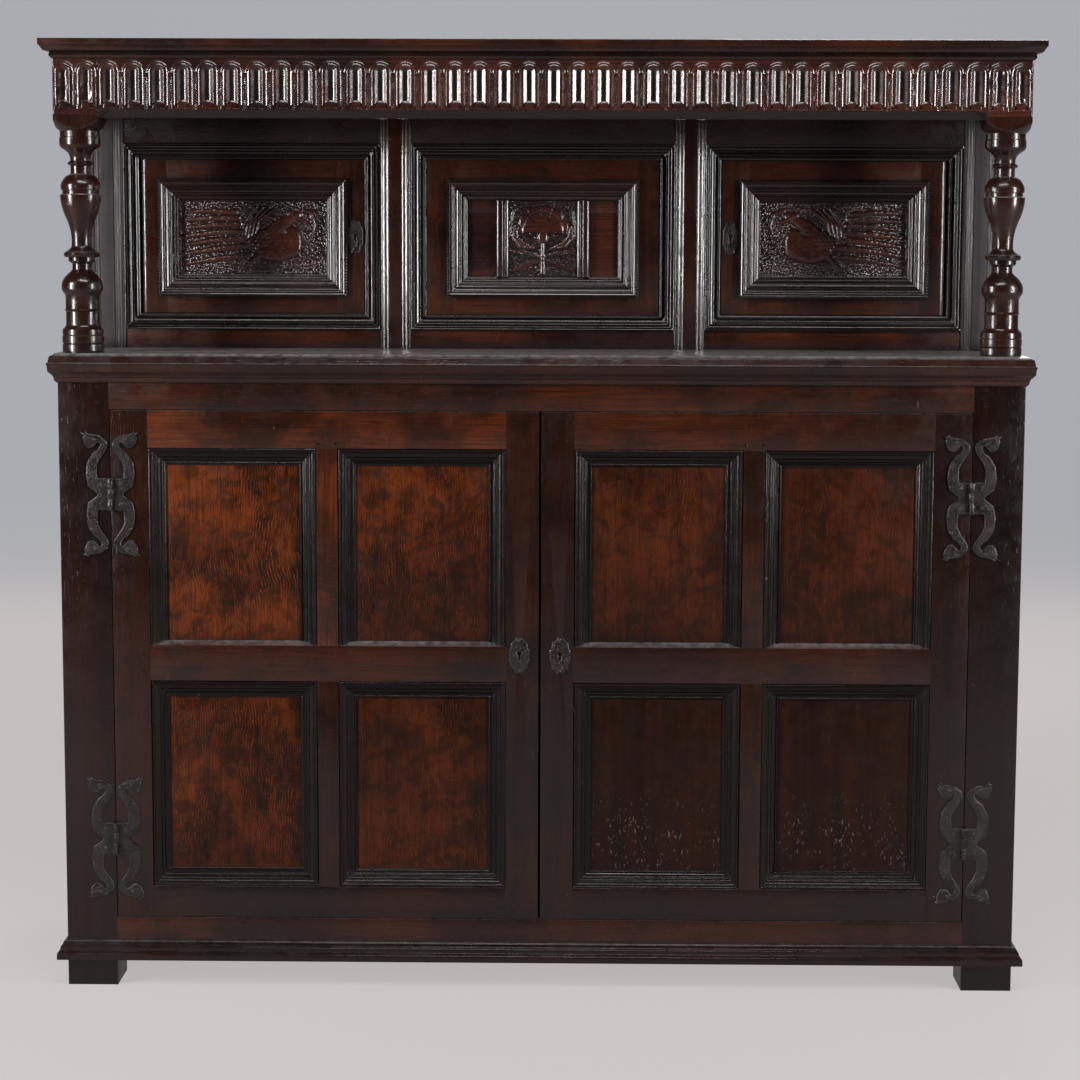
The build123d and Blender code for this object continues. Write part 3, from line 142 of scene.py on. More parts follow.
class Graph:
    """Short forms for building one material's node tree."""

    def __init__(self, name):
        self.material = bpy.data.materials.new(name)
        self.material.use_nodes = True
        self.tree = self.material.node_tree
        self.tree.nodes.clear()

    def node(self, kind, inputs=None, **settings):
        made = self.tree.nodes.new("ShaderNode" + kind)
        for key, value in settings.items():
            setattr(made, key, value)
        for key, value in (inputs or {}).items():
            self.put(made.inputs[key], value)
        return made

    def put(self, socket, value):
        if isinstance(value, bpy.types.NodeSocket):
            self.tree.links.new(value, socket)
        elif socket.type == "RGBA":
            socket.default_value = (*value, 1)
        else:
            socket.default_value = value

    def attribute(self, name, output):
        return self.node("Attribute", attribute_name=name).outputs[output]

    def stretched(self, vector, factors):
        return self.node("VectorMath", {0: vector, 1: factors}, operation="MULTIPLY").outputs[0]

    def noise(self, vector, scale, detail=2.0, roughness=0.5, distortion=0.0):
        return self.node("TexNoise", {"Vector": vector, "Scale": scale, "Detail": detail,
                                      "Roughness": roughness, "Distortion": distortion}).outputs[0]

    def math(self, operation, a, b=0.0):
        return self.node("Math", {0: a, 1: b}, operation=operation).outputs[0]

    def times(self, first, *others):
        for other in others:
            first = self.math("MULTIPLY", first, other)
        return first

    def ramp(self, value, low, high, out_low=0.0, out_high=1.0):
        """Value from low to high, taken smoothly to out_low to out_high."""
        return self.node("MapRange", {"Value": value, "From Min": low, "From Max": high,
                                      "To Min": out_low, "To Max": out_high},
                         interpolation_type="SMOOTHSTEP").outputs[0]

    def mix(self, share, a, b):
        made = self.node("Mix", data_type="RGBA")
        self.put(made.inputs[0], share)
        self.put(made.inputs[6], a)
        self.put(made.inputs[7], b)
        return made.outputs[2]

    def corner_dirt_and_shade(self, distance, low, high):
        """Painted shade, with the dirt of corners, from ambient occlusion: 1 deep in corners, 0 on
        open faces.
        """
        shade = self.node("AmbientOcclusion", {"Distance": distance}, samples=5).outputs["AO"]
        return self.ramp(shade, high, low)

    def arris(self, radius, low, high):
        """1 on outer edges and 0 away from them."""
        soft = self.node("Bevel", {"Radius": radius}, samples=4).outputs[0]
        true = self.node("NewGeometry").outputs["Normal"]
        turn = self.node("VectorMath", {0: soft, 1: true}, operation="DOT_PRODUCT").outputs["Value"]
        return self.ramp(turn, high, low)

    def upward(self, low, high):
        """1 on faces that look up."""
        normal = self.node("NewGeometry").outputs["Normal"]
        return self.ramp(self.node("SeparateXYZ", {0: normal}).outputs[2], low, high)

    def finish(self, colour, roughness, height, relief, rounded=0.0, **sockets):
        """Principled surface with a bump of the given relief in metres, its edges rounded if asked.

        Other inputs of the shader are given by name, with _ for a space.
        """
        inputs = {"Height": height, "Distance": relief, "Strength": 1.0}
        if rounded:
            inputs["Normal"] = self.node("Bevel", {"Radius": rounded}, samples=6).outputs[0]
        bump = self.node("Bump", inputs).outputs[0]
        shader = self.node("BsdfPrincipled", {"Base Color": colour, "Roughness": roughness,
                                              "Normal": bump, "Coat Normal": bump})
        for key, value in sockets.items():
            self.put(shader.inputs[key.replace("_", " ")], value)
        out = self.node("OutputMaterial")
        self.tree.links.new(shader.outputs[0], out.inputs["Surface"])
        return self.material


# ---- materials ---------------------------------------------------------------------------------

def oak(name, tones, fleck=0.0, wear=1.0, gloss=(0.20, 0.36), open_grain=1.0, wax=0.7, reeds=0.0,
        shadow=26 * MM, dented=1.0, mirror=0.4, patchy=0.0):
    """Waxed oak. The grain runs along the third value of the timber's own coordinates.

    The tones are the wood's deep, middle and bright colours. Reeds are fine ridges along the grain,
    as on a moulding cut with a scratch stock, darker in their valleys. The shadow is how far the
    painted shade and dirt of corners reach.
    Patchy wood has an uneven patina and scuffs.
    """
    g = Graph(name)
    timber = g.attribute("timber", "Vector")
    tone = g.attribute("tone", "Fac")
    room = g.node("TexCoord").outputs["Object"]
    deep, body, bright = tones

    streaks = g.noise(g.stretched(timber, (1, 1, 0.05)), 42, 5, 0.62, 0.4)
    fibres = g.noise(g.stretched(timber, (1, 1, 0.035)), 330, 4, 0.7, 0.2)
    pores = g.noise(g.stretched(timber, (1, 1, 0.055)), 620, 2, 0.6)
    patches = g.noise(room, 6.5, 4, 0.6, 0.3)
    blotches = g.noise(g.stretched(timber, (1, 1, 0.4)), 17, 4, 0.65, 0.5)
    warmth = g.math("SUBTRACT", 1.0, g.math("MULTIPLY", tone, 0.96))

    colour = g.mix(g.ramp(streaks, 0.32, 0.66), deep, body)
    glow = g.times(g.ramp(patches, 0.38, 0.62, 0.15 - 0.1 * patchy, 1.0 + 0.35 * patchy),
                   g.ramp(fibres, 0.30, 0.72, 0.25, 1.0), warmth)
    colour = g.mix(g.math("MULTIPLY", glow, 0.80), colour, bright)
    if fleck:
        colour = g.mix(g.times(figure(g, timber), warmth, fleck), colour, bright)
    ticks = g.times(g.ramp(g.noise(g.stretched(timber, (0.4, 1, 2.4)), 120, 2), 0.60, 0.72),
                    g.ramp(blotches, 0.48, 0.60))
    colour = g.mix(g.times(ticks, warmth, 0.5), colour, bright)
    colour = g.mix(g.ramp(tone, 0.55, 1.0, 0.0, 0.45), colour, deep)
    colour = g.mix(g.ramp(blotches, 0.54, 0.74, 0.0, 0.65), colour, deep)
    if patchy:
        colour = g.mix(g.ramp(g.noise(room, 31, 4, 0.6, 0.6), 0.46, 0.62, 0.0, 0.55), colour, deep)
        colour = g.mix(g.math("MULTIPLY", scuffs(g, room), 0.55), colour, SCUFFED_OAK)
    pits = g.ramp(pores, 0.60, 0.72)
    colour = g.mix(g.math("MULTIPLY", pits, 0.7), colour, DIRT_AND_SHADE)
    # Painted shade: corners and hollows darkened by ambient occlusion, to the colour of dirt.
    colour = g.mix(g.math("MULTIPLY", g.corner_dirt_and_shade(shadow, 0.42, 0.98), 0.94), colour, DIRT_AND_SHADE)

    bruised = g.ramp(blotches, 0.40, 0.60, 0.05, 1.0)
    rubbed = g.times(g.arris(1.3 * MM, 0.88, 0.985), bruised, 0.42 * wear)
    colour = g.mix(rubbed, colour, WORN_OAK)
    chips = g.times(g.ramp(g.noise(room, 260, 3, 0.6), 0.66, 0.72), g.arris(3.0 * MM, 0.90, 0.99))
    colour = g.mix(g.math("MULTIPLY", chips, 0.6 * wear), colour, SCRATCHED_OAK)
    cuts = scratches(g, room)
    colour = g.mix(g.math("MULTIPLY", cuts, 0.35 * wear), colour, SCRATCHED_OAK)
    over_floor = g.node("SeparateXYZ", {0: room}).outputs[2]
    # Dust on faces that look up, less of it low down; so pale that it also paints the sheen of
    # light on the ledge and light lines on the base moulding's steps: partly painted sheen.
    dust_and_sheen = g.times(g.upward(0.80, 0.99), g.ramp(g.noise(room, 60, 4, 0.7), 0.34, 0.62, 0.35, 1.0),
                    g.ramp(over_floor, 0.4, 0.9, 0.34, 1.0))
    colour = g.mix(g.math("MULTIPLY", dust_and_sheen, 0.72), colour, DUST_AND_SHEEN)

    shine = g.ramp(g.noise(room, 21, 4, 0.65), 0.32, 0.68, *gloss)
    roughness = g.math("ADD", shine, g.math("MULTIPLY", pits, 0.2))
    roughness = g.math("ADD", roughness, g.math("MULTIPLY", dust_and_sheen, 0.12))
    hand_plane = g.noise(g.stretched(timber, (1, 1, 0.3)), 26, 2, 0.5)
    dents = g.ramp(g.noise(room, 95, 2, 0.5), 0.26, 0.40, -0.5, 0.0)
    height = g.math("ADD", g.math("MULTIPLY", fibres, 0.26 * open_grain),
                    g.math("MULTIPLY", pits, -0.10 * open_grain))
    height = g.math("ADD", height, g.math("MULTIPLY", hand_plane, 0.75 * dented))
    height = g.math("ADD", height, g.math("MULTIPLY", dents, 0.4 * dented))
    if reeds:
        across = g.node("SeparateXYZ", {0: timber}).outputs[0]
        wave = g.math("SINE", g.math("MULTIPLY", across, 2 * math.pi / REED_PITCH))
        height = g.math("ADD", height, g.math("MULTIPLY", wave, reeds))
        # The reeds' valleys are made darker.
        colour = g.mix(g.ramp(wave, -0.9, 0.1, 0.75, 0.0), colour, DIRT_AND_SHADE)
    height = g.math("ADD", height, g.math("MULTIPLY", cuts, -0.4))
    return g.finish(colour, roughness, height, 0.5 * MM, Specular_IOR_Level=mirror, Coat_Weight=wax,
                    Coat_Roughness=0.13)


def figure(g, timber):
    """Wavy figure of quartered oak: thin bright lines that wander along the grain."""
    warp = g.noise(g.stretched(timber, (1, 1, 0.6)), 11, 2, 0.5)
    ripple = g.noise(g.stretched(timber, (1, 1, 0.8)), 75, 3, 0.55)
    across = g.node("SeparateXYZ", {0: timber}).outputs[0]
    phase = g.math("ADD", g.math("MULTIPLY", across, 1500.0), g.math("MULTIPLY", warp, 62.0))
    phase = g.math("ADD", phase, g.math("MULTIPLY", ripple, 13.0))
    lines = g.ramp(g.math("SINE", phase), -0.1, 1.0)
    broken = g.ramp(g.noise(g.stretched(timber, (1, 1, 0.4)), 130, 3, 0.6), 0.38, 0.56)
    fields = g.ramp(g.noise(timber, 9, 3, 0.6), 0.32, 0.58, 0.35, 1.0)
    return g.times(lines, broken, fields)


def scratches(g, room):
    """Short thin scratches in a few places: pieces of the level lines of a coarse noise."""
    turned = g.node("Mapping", {"Vector": room, "Rotation": (0.3, 0.9, 0.5), "Scale": (1, 1, 0.3)})
    level = g.noise(turned.outputs[0], 14, 0.5)
    away = g.math("ABSOLUTE", g.math("SUBTRACT", level, 0.5))
    line = g.ramp(away, 0.0, 0.004, 1.0, 0.0)
    return g.math("MULTIPLY", line, g.ramp(g.noise(room, 23, 2), 0.66, 0.72))


def scuffs(g, room):
    """Pale specks where feet have knocked the lower panels, most of them on the right door."""
    parts = g.node("SeparateXYZ", {0: room})
    x, z = parts.outputs[0], parts.outputs[2]
    band = g.times(g.ramp(z, 0.15, 0.24), g.ramp(z, 0.26, 0.37, 1.0, 0.0),
                   g.ramp(x, -0.2, 0.1, 0.15, 1.0))
    specks = g.noise(g.stretched(room, (1, 1, 0.45)), 260, 2, 0.6)
    groups = g.noise(room, 34, 3, 0.6)
    return g.times(band, g.ramp(specks, 0.60, 0.68), g.ramp(groups, 0.42, 0.56))


def iron(name):
    """Wrought iron: dark and pitted, brown in the pits, and pale on the edges: partly rubbed wear
    and partly a painted highlight.
    """
    g = Graph(name)
    room = g.node("TexCoord").outputs["Object"]
    grain = g.noise(room, 420, 5, 0.65)
    scale = g.noise(room, 70, 4, 0.6, 0.3)
    pits = g.ramp(g.noise(room, 560, 3, 0.6), 0.52, 0.64)
    hammered = g.noise(room, 130, 2, 0.5)
    colour = g.mix(g.ramp(scale, 0.35, 0.65), *IRON_TONES)
    colour = g.mix(g.math("MULTIPLY", g.ramp(grain, 0.55, 0.72), 0.5), colour, RUST)
    colour = g.mix(g.math("MULTIPLY", pits, 0.7), colour, IRON_PITS)
    # Pale edges: rubbed wear, and a painted highlight along the rounded edges.
    bright = g.arris(1.1 * MM, 0.80, 0.98)
    colour = g.mix(g.math("MULTIPLY", bright, 0.8), colour, RUBBED_IRON_AND_HIGHLIGHT)
    roughness = g.ramp(grain, 0.3, 0.7, 0.14, 0.26)
    height = g.math("MULTIPLY", g.math("SUBTRACT", grain, pits), 0.6)
    height = g.math("ADD", height, g.math("MULTIPLY", hammered, 1.3))
    return g.finish(colour, roughness, height, 0.45 * MM, 3.2 * MM, Metallic=0.3, Coat_Weight=0.6,
                    Coat_Roughness=0.16)


MATERIALS = {
    "oak_frame": oak("oak_frame_waxed", FRAME_TONES),
    "oak_panel": oak("oak_panel_figured", PANEL_TONES, fleck=1.0, patchy=1.0, wear=0.5,
                     gloss=(0.28, 0.44), wax=0.12, shadow=50 * MM, mirror=0.25),
    # Wax bloom, and a painted sheen of light, on the upper front posts.
    "oak_bloom_and_sheen": oak("oak_wax_bloom_and_painted_sheen", BLOOM_AND_SHEEN_TONES, gloss=(0.30, 0.46)),
    "oak_moulded": oak("oak_moulded_waxed", MOULDED_TONES, gloss=(0.22, 0.36), wax=1.0, reeds=0.75,
                       dented=0.3, open_grain=0.4),
    "oak_reeded": oak("oak_reeded_dull", MOULDED_TONES, gloss=(0.16, 0.28), wax=0.45, reeds=1.0,
                      dented=0.3, mirror=0.25),
    "oak_carved": oak("oak_carved_waxed", CARVED_TONES, gloss=(0.18, 0.30), wax=0.9, shadow=9 * MM,
                      dented=0.12, open_grain=0.4),
    "oak_dry": oak("oak_dry_sawn", DRY_TONES, wear=0.3, gloss=(0.6, 0.8), open_grain=1.6, wax=0.0),
    "iron": iron("iron_wrought"),
}


# ---- worn copies of the CAD nodes --------------------------------------------------------------

def shells_of(mesh):
    """The closed shells of a CAD mesh, one per timber, each as a list of faces of corner points."""
    shells, shell, open_edges = [], [], set()
    for polygon in mesh.polygons:
        corners = [tuple(round(c, 6) for c in mesh.vertices[v].co) for v in polygon.vertices]
        shell.append(corners)
        for a, b in zip(corners, corners[1:] + corners[:1]):
            open_edges ^= {frozenset((a, b))}
        if not open_edges:
            shells.append(shell)
            shell = []
    return shells


def welded(shell):
    """One timber as a bmesh, its flat faces whole again."""
    bm = bmesh.new()
    made = {}
    for corners in shell:
        for corner in corners:
            if corner not in made:
                made[corner] = bm.verts.new(corner)
        if len(set(corners)) == len(corners):
            bm.faces.new([made[corner] for corner in corners])
    bm.normal_update()
    bmesh.ops.dissolve_limit(bm, angle_limit=math.radians(0.4), verts=bm.verts, edges=bm.edges)
    return bm


def soften(bm, width, sharpest):
    """Rounds the edges of a timber that turn by more than an angle in degrees."""
    edges = [e for e in bm.edges
             if len(e.link_faces) == 2 and e.calc_face_angle(0) > math.radians(sharpest)]
    bmesh.ops.bevel(bm, geom=edges, offset=width, offset_type="OFFSET", segments=2, profile=0.6,
                    affect="EDGES", clamp_overlap=True)


def grain_order(points):
    """Axes of a timber, thinnest second and longest third."""
    spans = [max(p[i] for p in points) - min(p[i] for p in points) for i in range(3)]
    thin, middle, long = sorted(range(3), key=lambda i: spans[i])
    return middle, thin, long


def run_order(face):
    """Axes of one face of a moulding that goes round an opening: its longest edge is the grain."""
    edge = max(face.edges, key=lambda e: e.calc_length())
    along = edge.verts[1].co - edge.verts[0].co
    return (0, 1, 2) if abs(along.z) > abs(along.x) else (2, 1, 0)


def tone_of(node, centre, chance):
    """0 for warm bright oak, 1 for nearly black: the doors are warmest high and on the left.

    The centre is the timber's, and the chance is a random share of 1. Below 0 glows.
    """
    if "lower_door_panels" in node:
        return min(0.72, 0.2 + 0.75 * (centre.x + 0.5)) + 0.27 * (centre.z < 0.58)
    if "lower_door" in node and centre.z > 0.7 and abs(centre.x - BRIGHT_MUNTIN_X) < 0.04:
        return -0.6
    if "lower_door" in node and "moulding" not in node:
        low = max(0.0, 0.95 - centre.z)
        darker = 0.10 * (centre.x > 0) + 0.25 * ("stiles" in node)
        return min(1.0, 0.10 + 0.75 * low + darker + 0.12 * chance)
    if node == "lower_front_rails":
        return 0.3 if centre.z > 0.5 else 0.5
    if node == "upper_front_rails":
        return 0.25 if centre.z < 1.2 else 0.9
    if "upper_door" in node or "centre_panel" in node or node == "cornice_moulding":
        return 0.25 + 0.3 * chance
    if "mid_board" in node:
        return 0.5 + 0.3 * chance
    if "boards" in node and "centre" not in node:
        return 0.5 * chance
    if "moulding" in node or "post" in node or "surround" in node:
        return 0.84 + 0.16 * chance
    return 0.55 + 0.40 * chance


def is_ring(node):
    """Whether a node's timbers are mouldings that go round an opening."""
    return "surrounds" in node or "door_moulding" in node or "panel_moulding" in node


def worn_copy(node, rounding, opened=None):
    """One object with a softened copy of every timber of a node, and its grain coordinates.

    Opened, if given, is called on each timber first, and takes off the faces that carving replaces.
    """
    rng = random.Random(node)
    rings = is_ring(node)
    merged = bmesh.new()
    places = merged.verts.layers.float_vector.new("timber")
    tones = merged.verts.layers.float.new("tone")
    for shell in shells_of(frame["nodes"][node].data):
        bm = welded(shell)
        if opened:
            opened(bm)
        soften(bm, rounding, RING_ROUNDED_FROM if rings else ROUNDED_FROM)
        points = [v.co for v in bm.verts]
        centre = sum(points, Vector()) / len(points)
        whole = grain_order(points)
        shifts = {}
        copies = {}
        for face in bm.faces:
            order = run_order(face) if rings else whole
            if order not in shifts:
                shift = Vector((rng.uniform(-9, 9), rng.uniform(-9, 9), rng.uniform(-9, 9)))
                shifts[order] = shift, tone_of(node, centre, rng.random())
            shift, tone = shifts[order]
            loop = []
            for vert in face.verts:
                if (vert, order) not in copies:
                    copy = merged.verts.new(vert.co)
                    copy[places] = Vector([vert.co[i] for i in order]) + shift
                    copy[tones] = tone
                    copies[vert, order] = copy
                loop.append(copies[vert, order])
            merged.faces.new(loop)
        bm.free()
    return finished(merged, node + "_worn")


def finished(bm, name):
    """The bmesh as an object with smooth faces between crisp edges."""
    mesh = bpy.data.meshes.new(name)
    bm.to_mesh(mesh)
    bm.free()
    mesh.shade_smooth()
    mesh.set_sharp_from_angle(angle=math.radians(35))
    piece = bpy.data.objects.new(name, mesh)
    bpy.context.scene.collection.objects.link(piece)
    return piece


def dress(piece, slot, body, *nodes, finish=None):
    """Gives a piece the material of its finish, else of its slot, hangs it on its body, and hides
    the nodes that it stands for.
    """
    piece.data.materials.append(MATERIALS[finish or slot])
    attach(piece, body)
    if nodes:
        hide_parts(*nodes)


def without_face(y, z_low):
    """A function that cuts a timber at a height and takes away its front face above it."""
    def open_front(bm):
        geometry = list(bm.verts) + list(bm.edges) + list(bm.faces)
        bmesh.ops.bisect_plane(bm, geom=geometry, plane_co=(0, 0, z_low), plane_no=(0, 0, 1))
        front = [f for f in bm.faces
                 if all(abs(v.co.y - y) < SAME_PLANE and v.co.z > z_low - SAME_PLANE
                        for v in f.verts)]
        bmesh.ops.delete(bm, geom=front, context="FACES_ONLY")
    return open_front


def dress_nodes():
    """Every CAD node but the turned columns is stood for by its worn copy, in its slot's material
    or a finish chosen in its place.
    """
    bodies = frame["record"]["behaviour"]["bodies"]
    body_of = {node: body for body, nodes in bodies.items() for node in nodes}
    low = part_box("frieze_front_rail")[0]
    opened = {"frieze_front_rail": without_face(low[1], low[2] + FLUTED_FROM * MM)}
    for name in SIDES:
        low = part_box(f"{name}_upper_door_panel")[0]
        opened[f"{name}_upper_door_panel"] = without_face(low[1], low[2])
    for row in frame["record"]["subparts"]:
        node, slot = row["node"], row["material_slot"]
        if node != "turned_columns":
            rounding = IRON_ROUNDING if slot == "iron" else OAK_ROUNDING
            if "hinge" in node:
                rounding = HINGE_ROUNDING
            carved = slot == "oak_panel" and "lower" not in node and "side" not in node
            finish = "oak_carved" if carved else slot
            # The upper front posts take the grey bloom colour, which partly paints the sheen of
            # light on their faces.
            if "upper_front_post" in node:
                finish = "oak_bloom_and_sheen"
            if is_ring(node):
                finish = "oak_reeded" if "lower" in node else "oak_moulded"
            piece = worn_copy(node, rounding, opened.get(node))
            dress(piece, slot, body_of[node], node, finish=finish)


# ---- carving -----------------------------------------------------------------------------------

def carved_face(name, x_limits, z_limits, y_face, depth, tone_limits, skirt=0.0):
    """A carved surface: a fine grid set back from the face plane by depth(x, z), all in metres.

    Its tone goes from the first limit where it stands out to the second where it is cut deepest.
    With a skirt the grid's rim is drawn back to that depth, so that the piece has sides.
    """
    (x0, x1), (z0, z1), (proud_tone, deep_tone) = x_limits, z_limits, tone_limits
    columns = round((x1 - x0) / CARVING_STEP)
    rows = round((z1 - z0) / CARVING_STEP)
    bm = bmesh.new()
    places = bm.verts.layers.float_vector.new("timber")
    tones = bm.verts.layers.float.new("tone")
    grid = []
    for row in range(rows + 1):
        z = z0 + (z1 - z0) * row / rows
        line = []
        for column in range(columns + 1):
            x = x0 + (x1 - x0) * column / columns
            vert = bm.verts.new((x, y_face + depth(x, z), z))
            vert[places] = Vector((z + 3.1, vert.co.y, x + 1.7))
            line.append(vert)
        grid.append(line)
    depths = [vert.co.y for vert in bm.verts]
    nearest, deepest = min(depths), max(depths)
    for vert in bm.verts:
        share = (vert.co.y - nearest) / (deepest - nearest)
        vert[tones] = proud_tone + share * (deep_tone - proud_tone)
    for row in range(rows):
        for column in range(columns):
            bm.faces.new((grid[row][column], grid[row][column + 1], grid[row + 1][column + 1],
                          grid[row + 1][column]))
    if skirt:
        rim = [e for e in bm.edges if e.is_boundary]
        drawn = bmesh.ops.extrude_edge_only(bm, edges=rim)["geom"]
        for vert in [v for v in drawn if isinstance(v, bmesh.types.BMVert)]:
            vert.co.y = y_face + skirt
    return finished(bm, name)


def unevenness(x, z, size, amount):
    """Hand-cut waviness: up to about the amount either way, over stretches of the given size."""
    return amount * noise.noise(Vector((x / size, z / size, 0.37)))


def gouge(away):
    """Rise in mm of a gouge's wall at a distance from its middle: a round bottom, then straight."""
    if away < GOUGE_HOLLOW:
        return GOUGE_SLOPE * away * away / (2 * GOUGE_HOLLOW)
    return GOUGE_SLOPE * (away - GOUGE_HOLLOW / 2)


def flute(u, v, pitch):
    """Depth in mm of the fluted frieze, u from the flute's middle and v over the frieze's edge.

    Two arched lines go over each flute, and the inner one down its sides. Between two flutes is a
    short channel with a dot above it, and under each flute a round hollow.
    """
    depth = 0.0
    side = abs(u)
    between = pitch / 2 - side
    from_spring = math.hypot(u, v - ARCH_SPRING)
    for radius in ARCH_RADII:
        away = abs(from_spring - radius) if v > ARCH_SPRING else abs(side - radius)
        if v > LUNETTE_LEVEL + 3 and (v > ARCH_SPRING or radius == ARCH_RADII[0]):
            depth = max(depth, 0.5 * (2.1 - away))
    if v > ARCH_SPRING and from_spring > ARCH_RADII[1] and v < ARCH_SPRING + 17:
        depth = max(depth, 1.4)
    if between < CHANNEL_HALF_WIDTH and CHANNEL_ENDS[0] < v < CHANNEL_ENDS[1]:
        depth = max(depth, (0.32 + 0.2 * math.sin(v * 2.2)) * (CHANNEL_HALF_WIDTH - between))
    if math.hypot(between, v - CHANNEL_ENDS[1] - 5) < 1.7:
        depth = 2.0
    from_end = math.hypot(u, max(0.0, v - GOUGE_SPRING))
    from_foot = math.hypot(u, v - LUNETTE_LEVEL)
    if from_foot < LUNETTE_RADIUS and v > LUNETTE_LEVEL - 2:
        depth = 0.4 + 2.0 * (from_foot / LUNETTE_RADIUS) ** 3
    elif from_end < GOUGE_HALF_WIDTH and v > LUNETTE_LEVEL + 3:
        depth = max(depth, gouge(GOUGE_HALF_WIDTH) - gouge(from_end))
    return depth


def frieze_depth(x, z, low, first, pitch, count):
    """Depth in metres of a row of flutes, each cut a little differently.

    The frieze's lower edge is at low, in metres, and the first flute's middle at first, in mm.
    """
    place = (x / MM - first) / pitch
    n = min(count - 1, max(0, round(place)))
    u = (place - n) * pitch
    if abs(u) > pitch / 2 + 4:
        return 0.0
    hand = noise.cell_vector(Vector((n, count, 0.5)))
    u = (u + 0.4 * (hand.x - 0.5)) * (0.985 + 0.03 * hand.y)
    v = (z - low) / MM + 1.2 * (hand.z - 0.5)
    wander = unevenness(x, z, 0.007, 0.07) + unevenness(x, z, 0.03, 0.15)
    return max(0.0, flute(u, v, pitch) + wander) * MM


def frieze_carving():
    """The fluted face of the frieze rail and of the two corner blocks."""
    low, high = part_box("frieze_front_rail")
    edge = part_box("frieze_side_rails")[1][0]
    block_inner = edge - BLOCK_WIDTH
    z_low, z_high = low[2] + FLUTED_FROM * MM, high[2]
    first = -(FLUTE_COUNT - 1) / 2 * FLUTE_PITCH

    def rail_depth(x, z):
        border = min(block_inner - abs(x), z - z_low, z_high - z)
        fade = min(1.0, max(0.0, border / (0.8 * MM)))
        return frieze_depth(x, z, low[2], first, FLUTE_PITCH, FLUTE_COUNT) * fade

    rail = carved_face("frieze_flutes", (-block_inner, block_inner), (z_low, z_high), low[1],
                       rail_depth, (0.35, 1.0))
    dress(rail, "oak_frame", "carcase", finish="oak_carved")
    for name, side in SIDES.items():
        x0, x1 = sorted((side * block_inner, side * edge))
        first_flute = (x0 + x1) / 2 / MM - BLOCK_FLUTE_PITCH / 2

        def block_depth(x, z):
            cut = frieze_depth(x, z, low[2], first_flute, BLOCK_FLUTE_PITCH, BLOCK_FLUTES)
            worn = max(0.0, unevenness(x, z, 0.011, 1.6)) * MM
            corner = max(0.0, 1.6 * MM - min(x - x0, x1 - x)) * 0.7
            return cut + worn + corner

        block_low = low[2] + BLOCK_FLUTED_FROM * MM
        block = carved_face(f"block_flutes_{name}", (x0, x1), (block_low, z_high), low[1],
                            block_depth, (0.2, 1.0), skirt=BLOCK_SINK)
        dress(block, "oak_frame", "carcase", finish="oak_carved")


def stroke(x, z, points):
    """How far inside a tapered stroke through (x, z, half width) points: below 0 outside."""
    best = -9.0
    for (x0, z0, r0), (x1, z1, r1) in zip(points, points[1:]):
        dx, dz = x1 - x0, z1 - z0
        t = min(1.0, max(0.0, ((x - x0) * dx + (z - z0) * dz) / (dx * dx + dz * dz)))
        best = max(best, r0 + t * (r1 - r0) - math.hypot(x - x0 - t * dx, z - z0 - t * dz))
    return best


def blob(x, z, cx, cz, rx, rz, turn=0.0):
    """How far inside an oval, about: below 0 outside."""
    c, s = math.cos(turn), math.sin(turn)
    a = ((x - cx) * c + (z - cz) * s) / rx
    b = (-(x - cx) * s + (z - cz) * c) / rz
    return (1 - math.hypot(a, b)) * min(rx, rz)


def swell(inside, top):
    """Height of a rounded form of the given top, steep at its edge."""
    return top * (1 - math.exp(-1.5 * inside / top)) if inside > 0 else 0.0


def scales(x, z, width, height):
    """Depth of the cuts between rows of overlapping scales."""
    row = math.floor(z / height)
    u = (x / width + 0.5 * (row % 2)) % 1 - 0.5
    v = z / height - row
    away = abs(math.hypot(u * width, v * height) - 0.52 * width)
    return max(0.0, 1 - away / 1.3)


def punched(x, z):
    """Depth in mm of the punch marks on a carved ground."""
    cell = PUNCH_PITCH
    column, row = math.floor(x / cell), math.floor(z / cell)
    best = 9.0
    for i in (column - 1, column, column + 1):
        for j in (row - 1, row, row + 1):
            spot = noise.cell_vector(Vector((i, j, 0.5)))
            best = min(best, math.hypot(x - (i + spot.x) * cell, z - (j + spot.y) * cell))
    return 1.3 * max(0.0, 1 - best / 2.1)


# Tip and root of each tail feather, and its half width.
FEATHERS = ((-118, 46, -32, 45, 5.0), (-118, 31, -28, 35, 5.4), (-118, 17, -24, 24, 5.0),
            (-118, 3, -20, 12, 5.4), (-118, -12, -16, 0, 5.2), (-118, -28, -8, -14, 5.6),
            (-118, -46, -6, -30, 5.0))


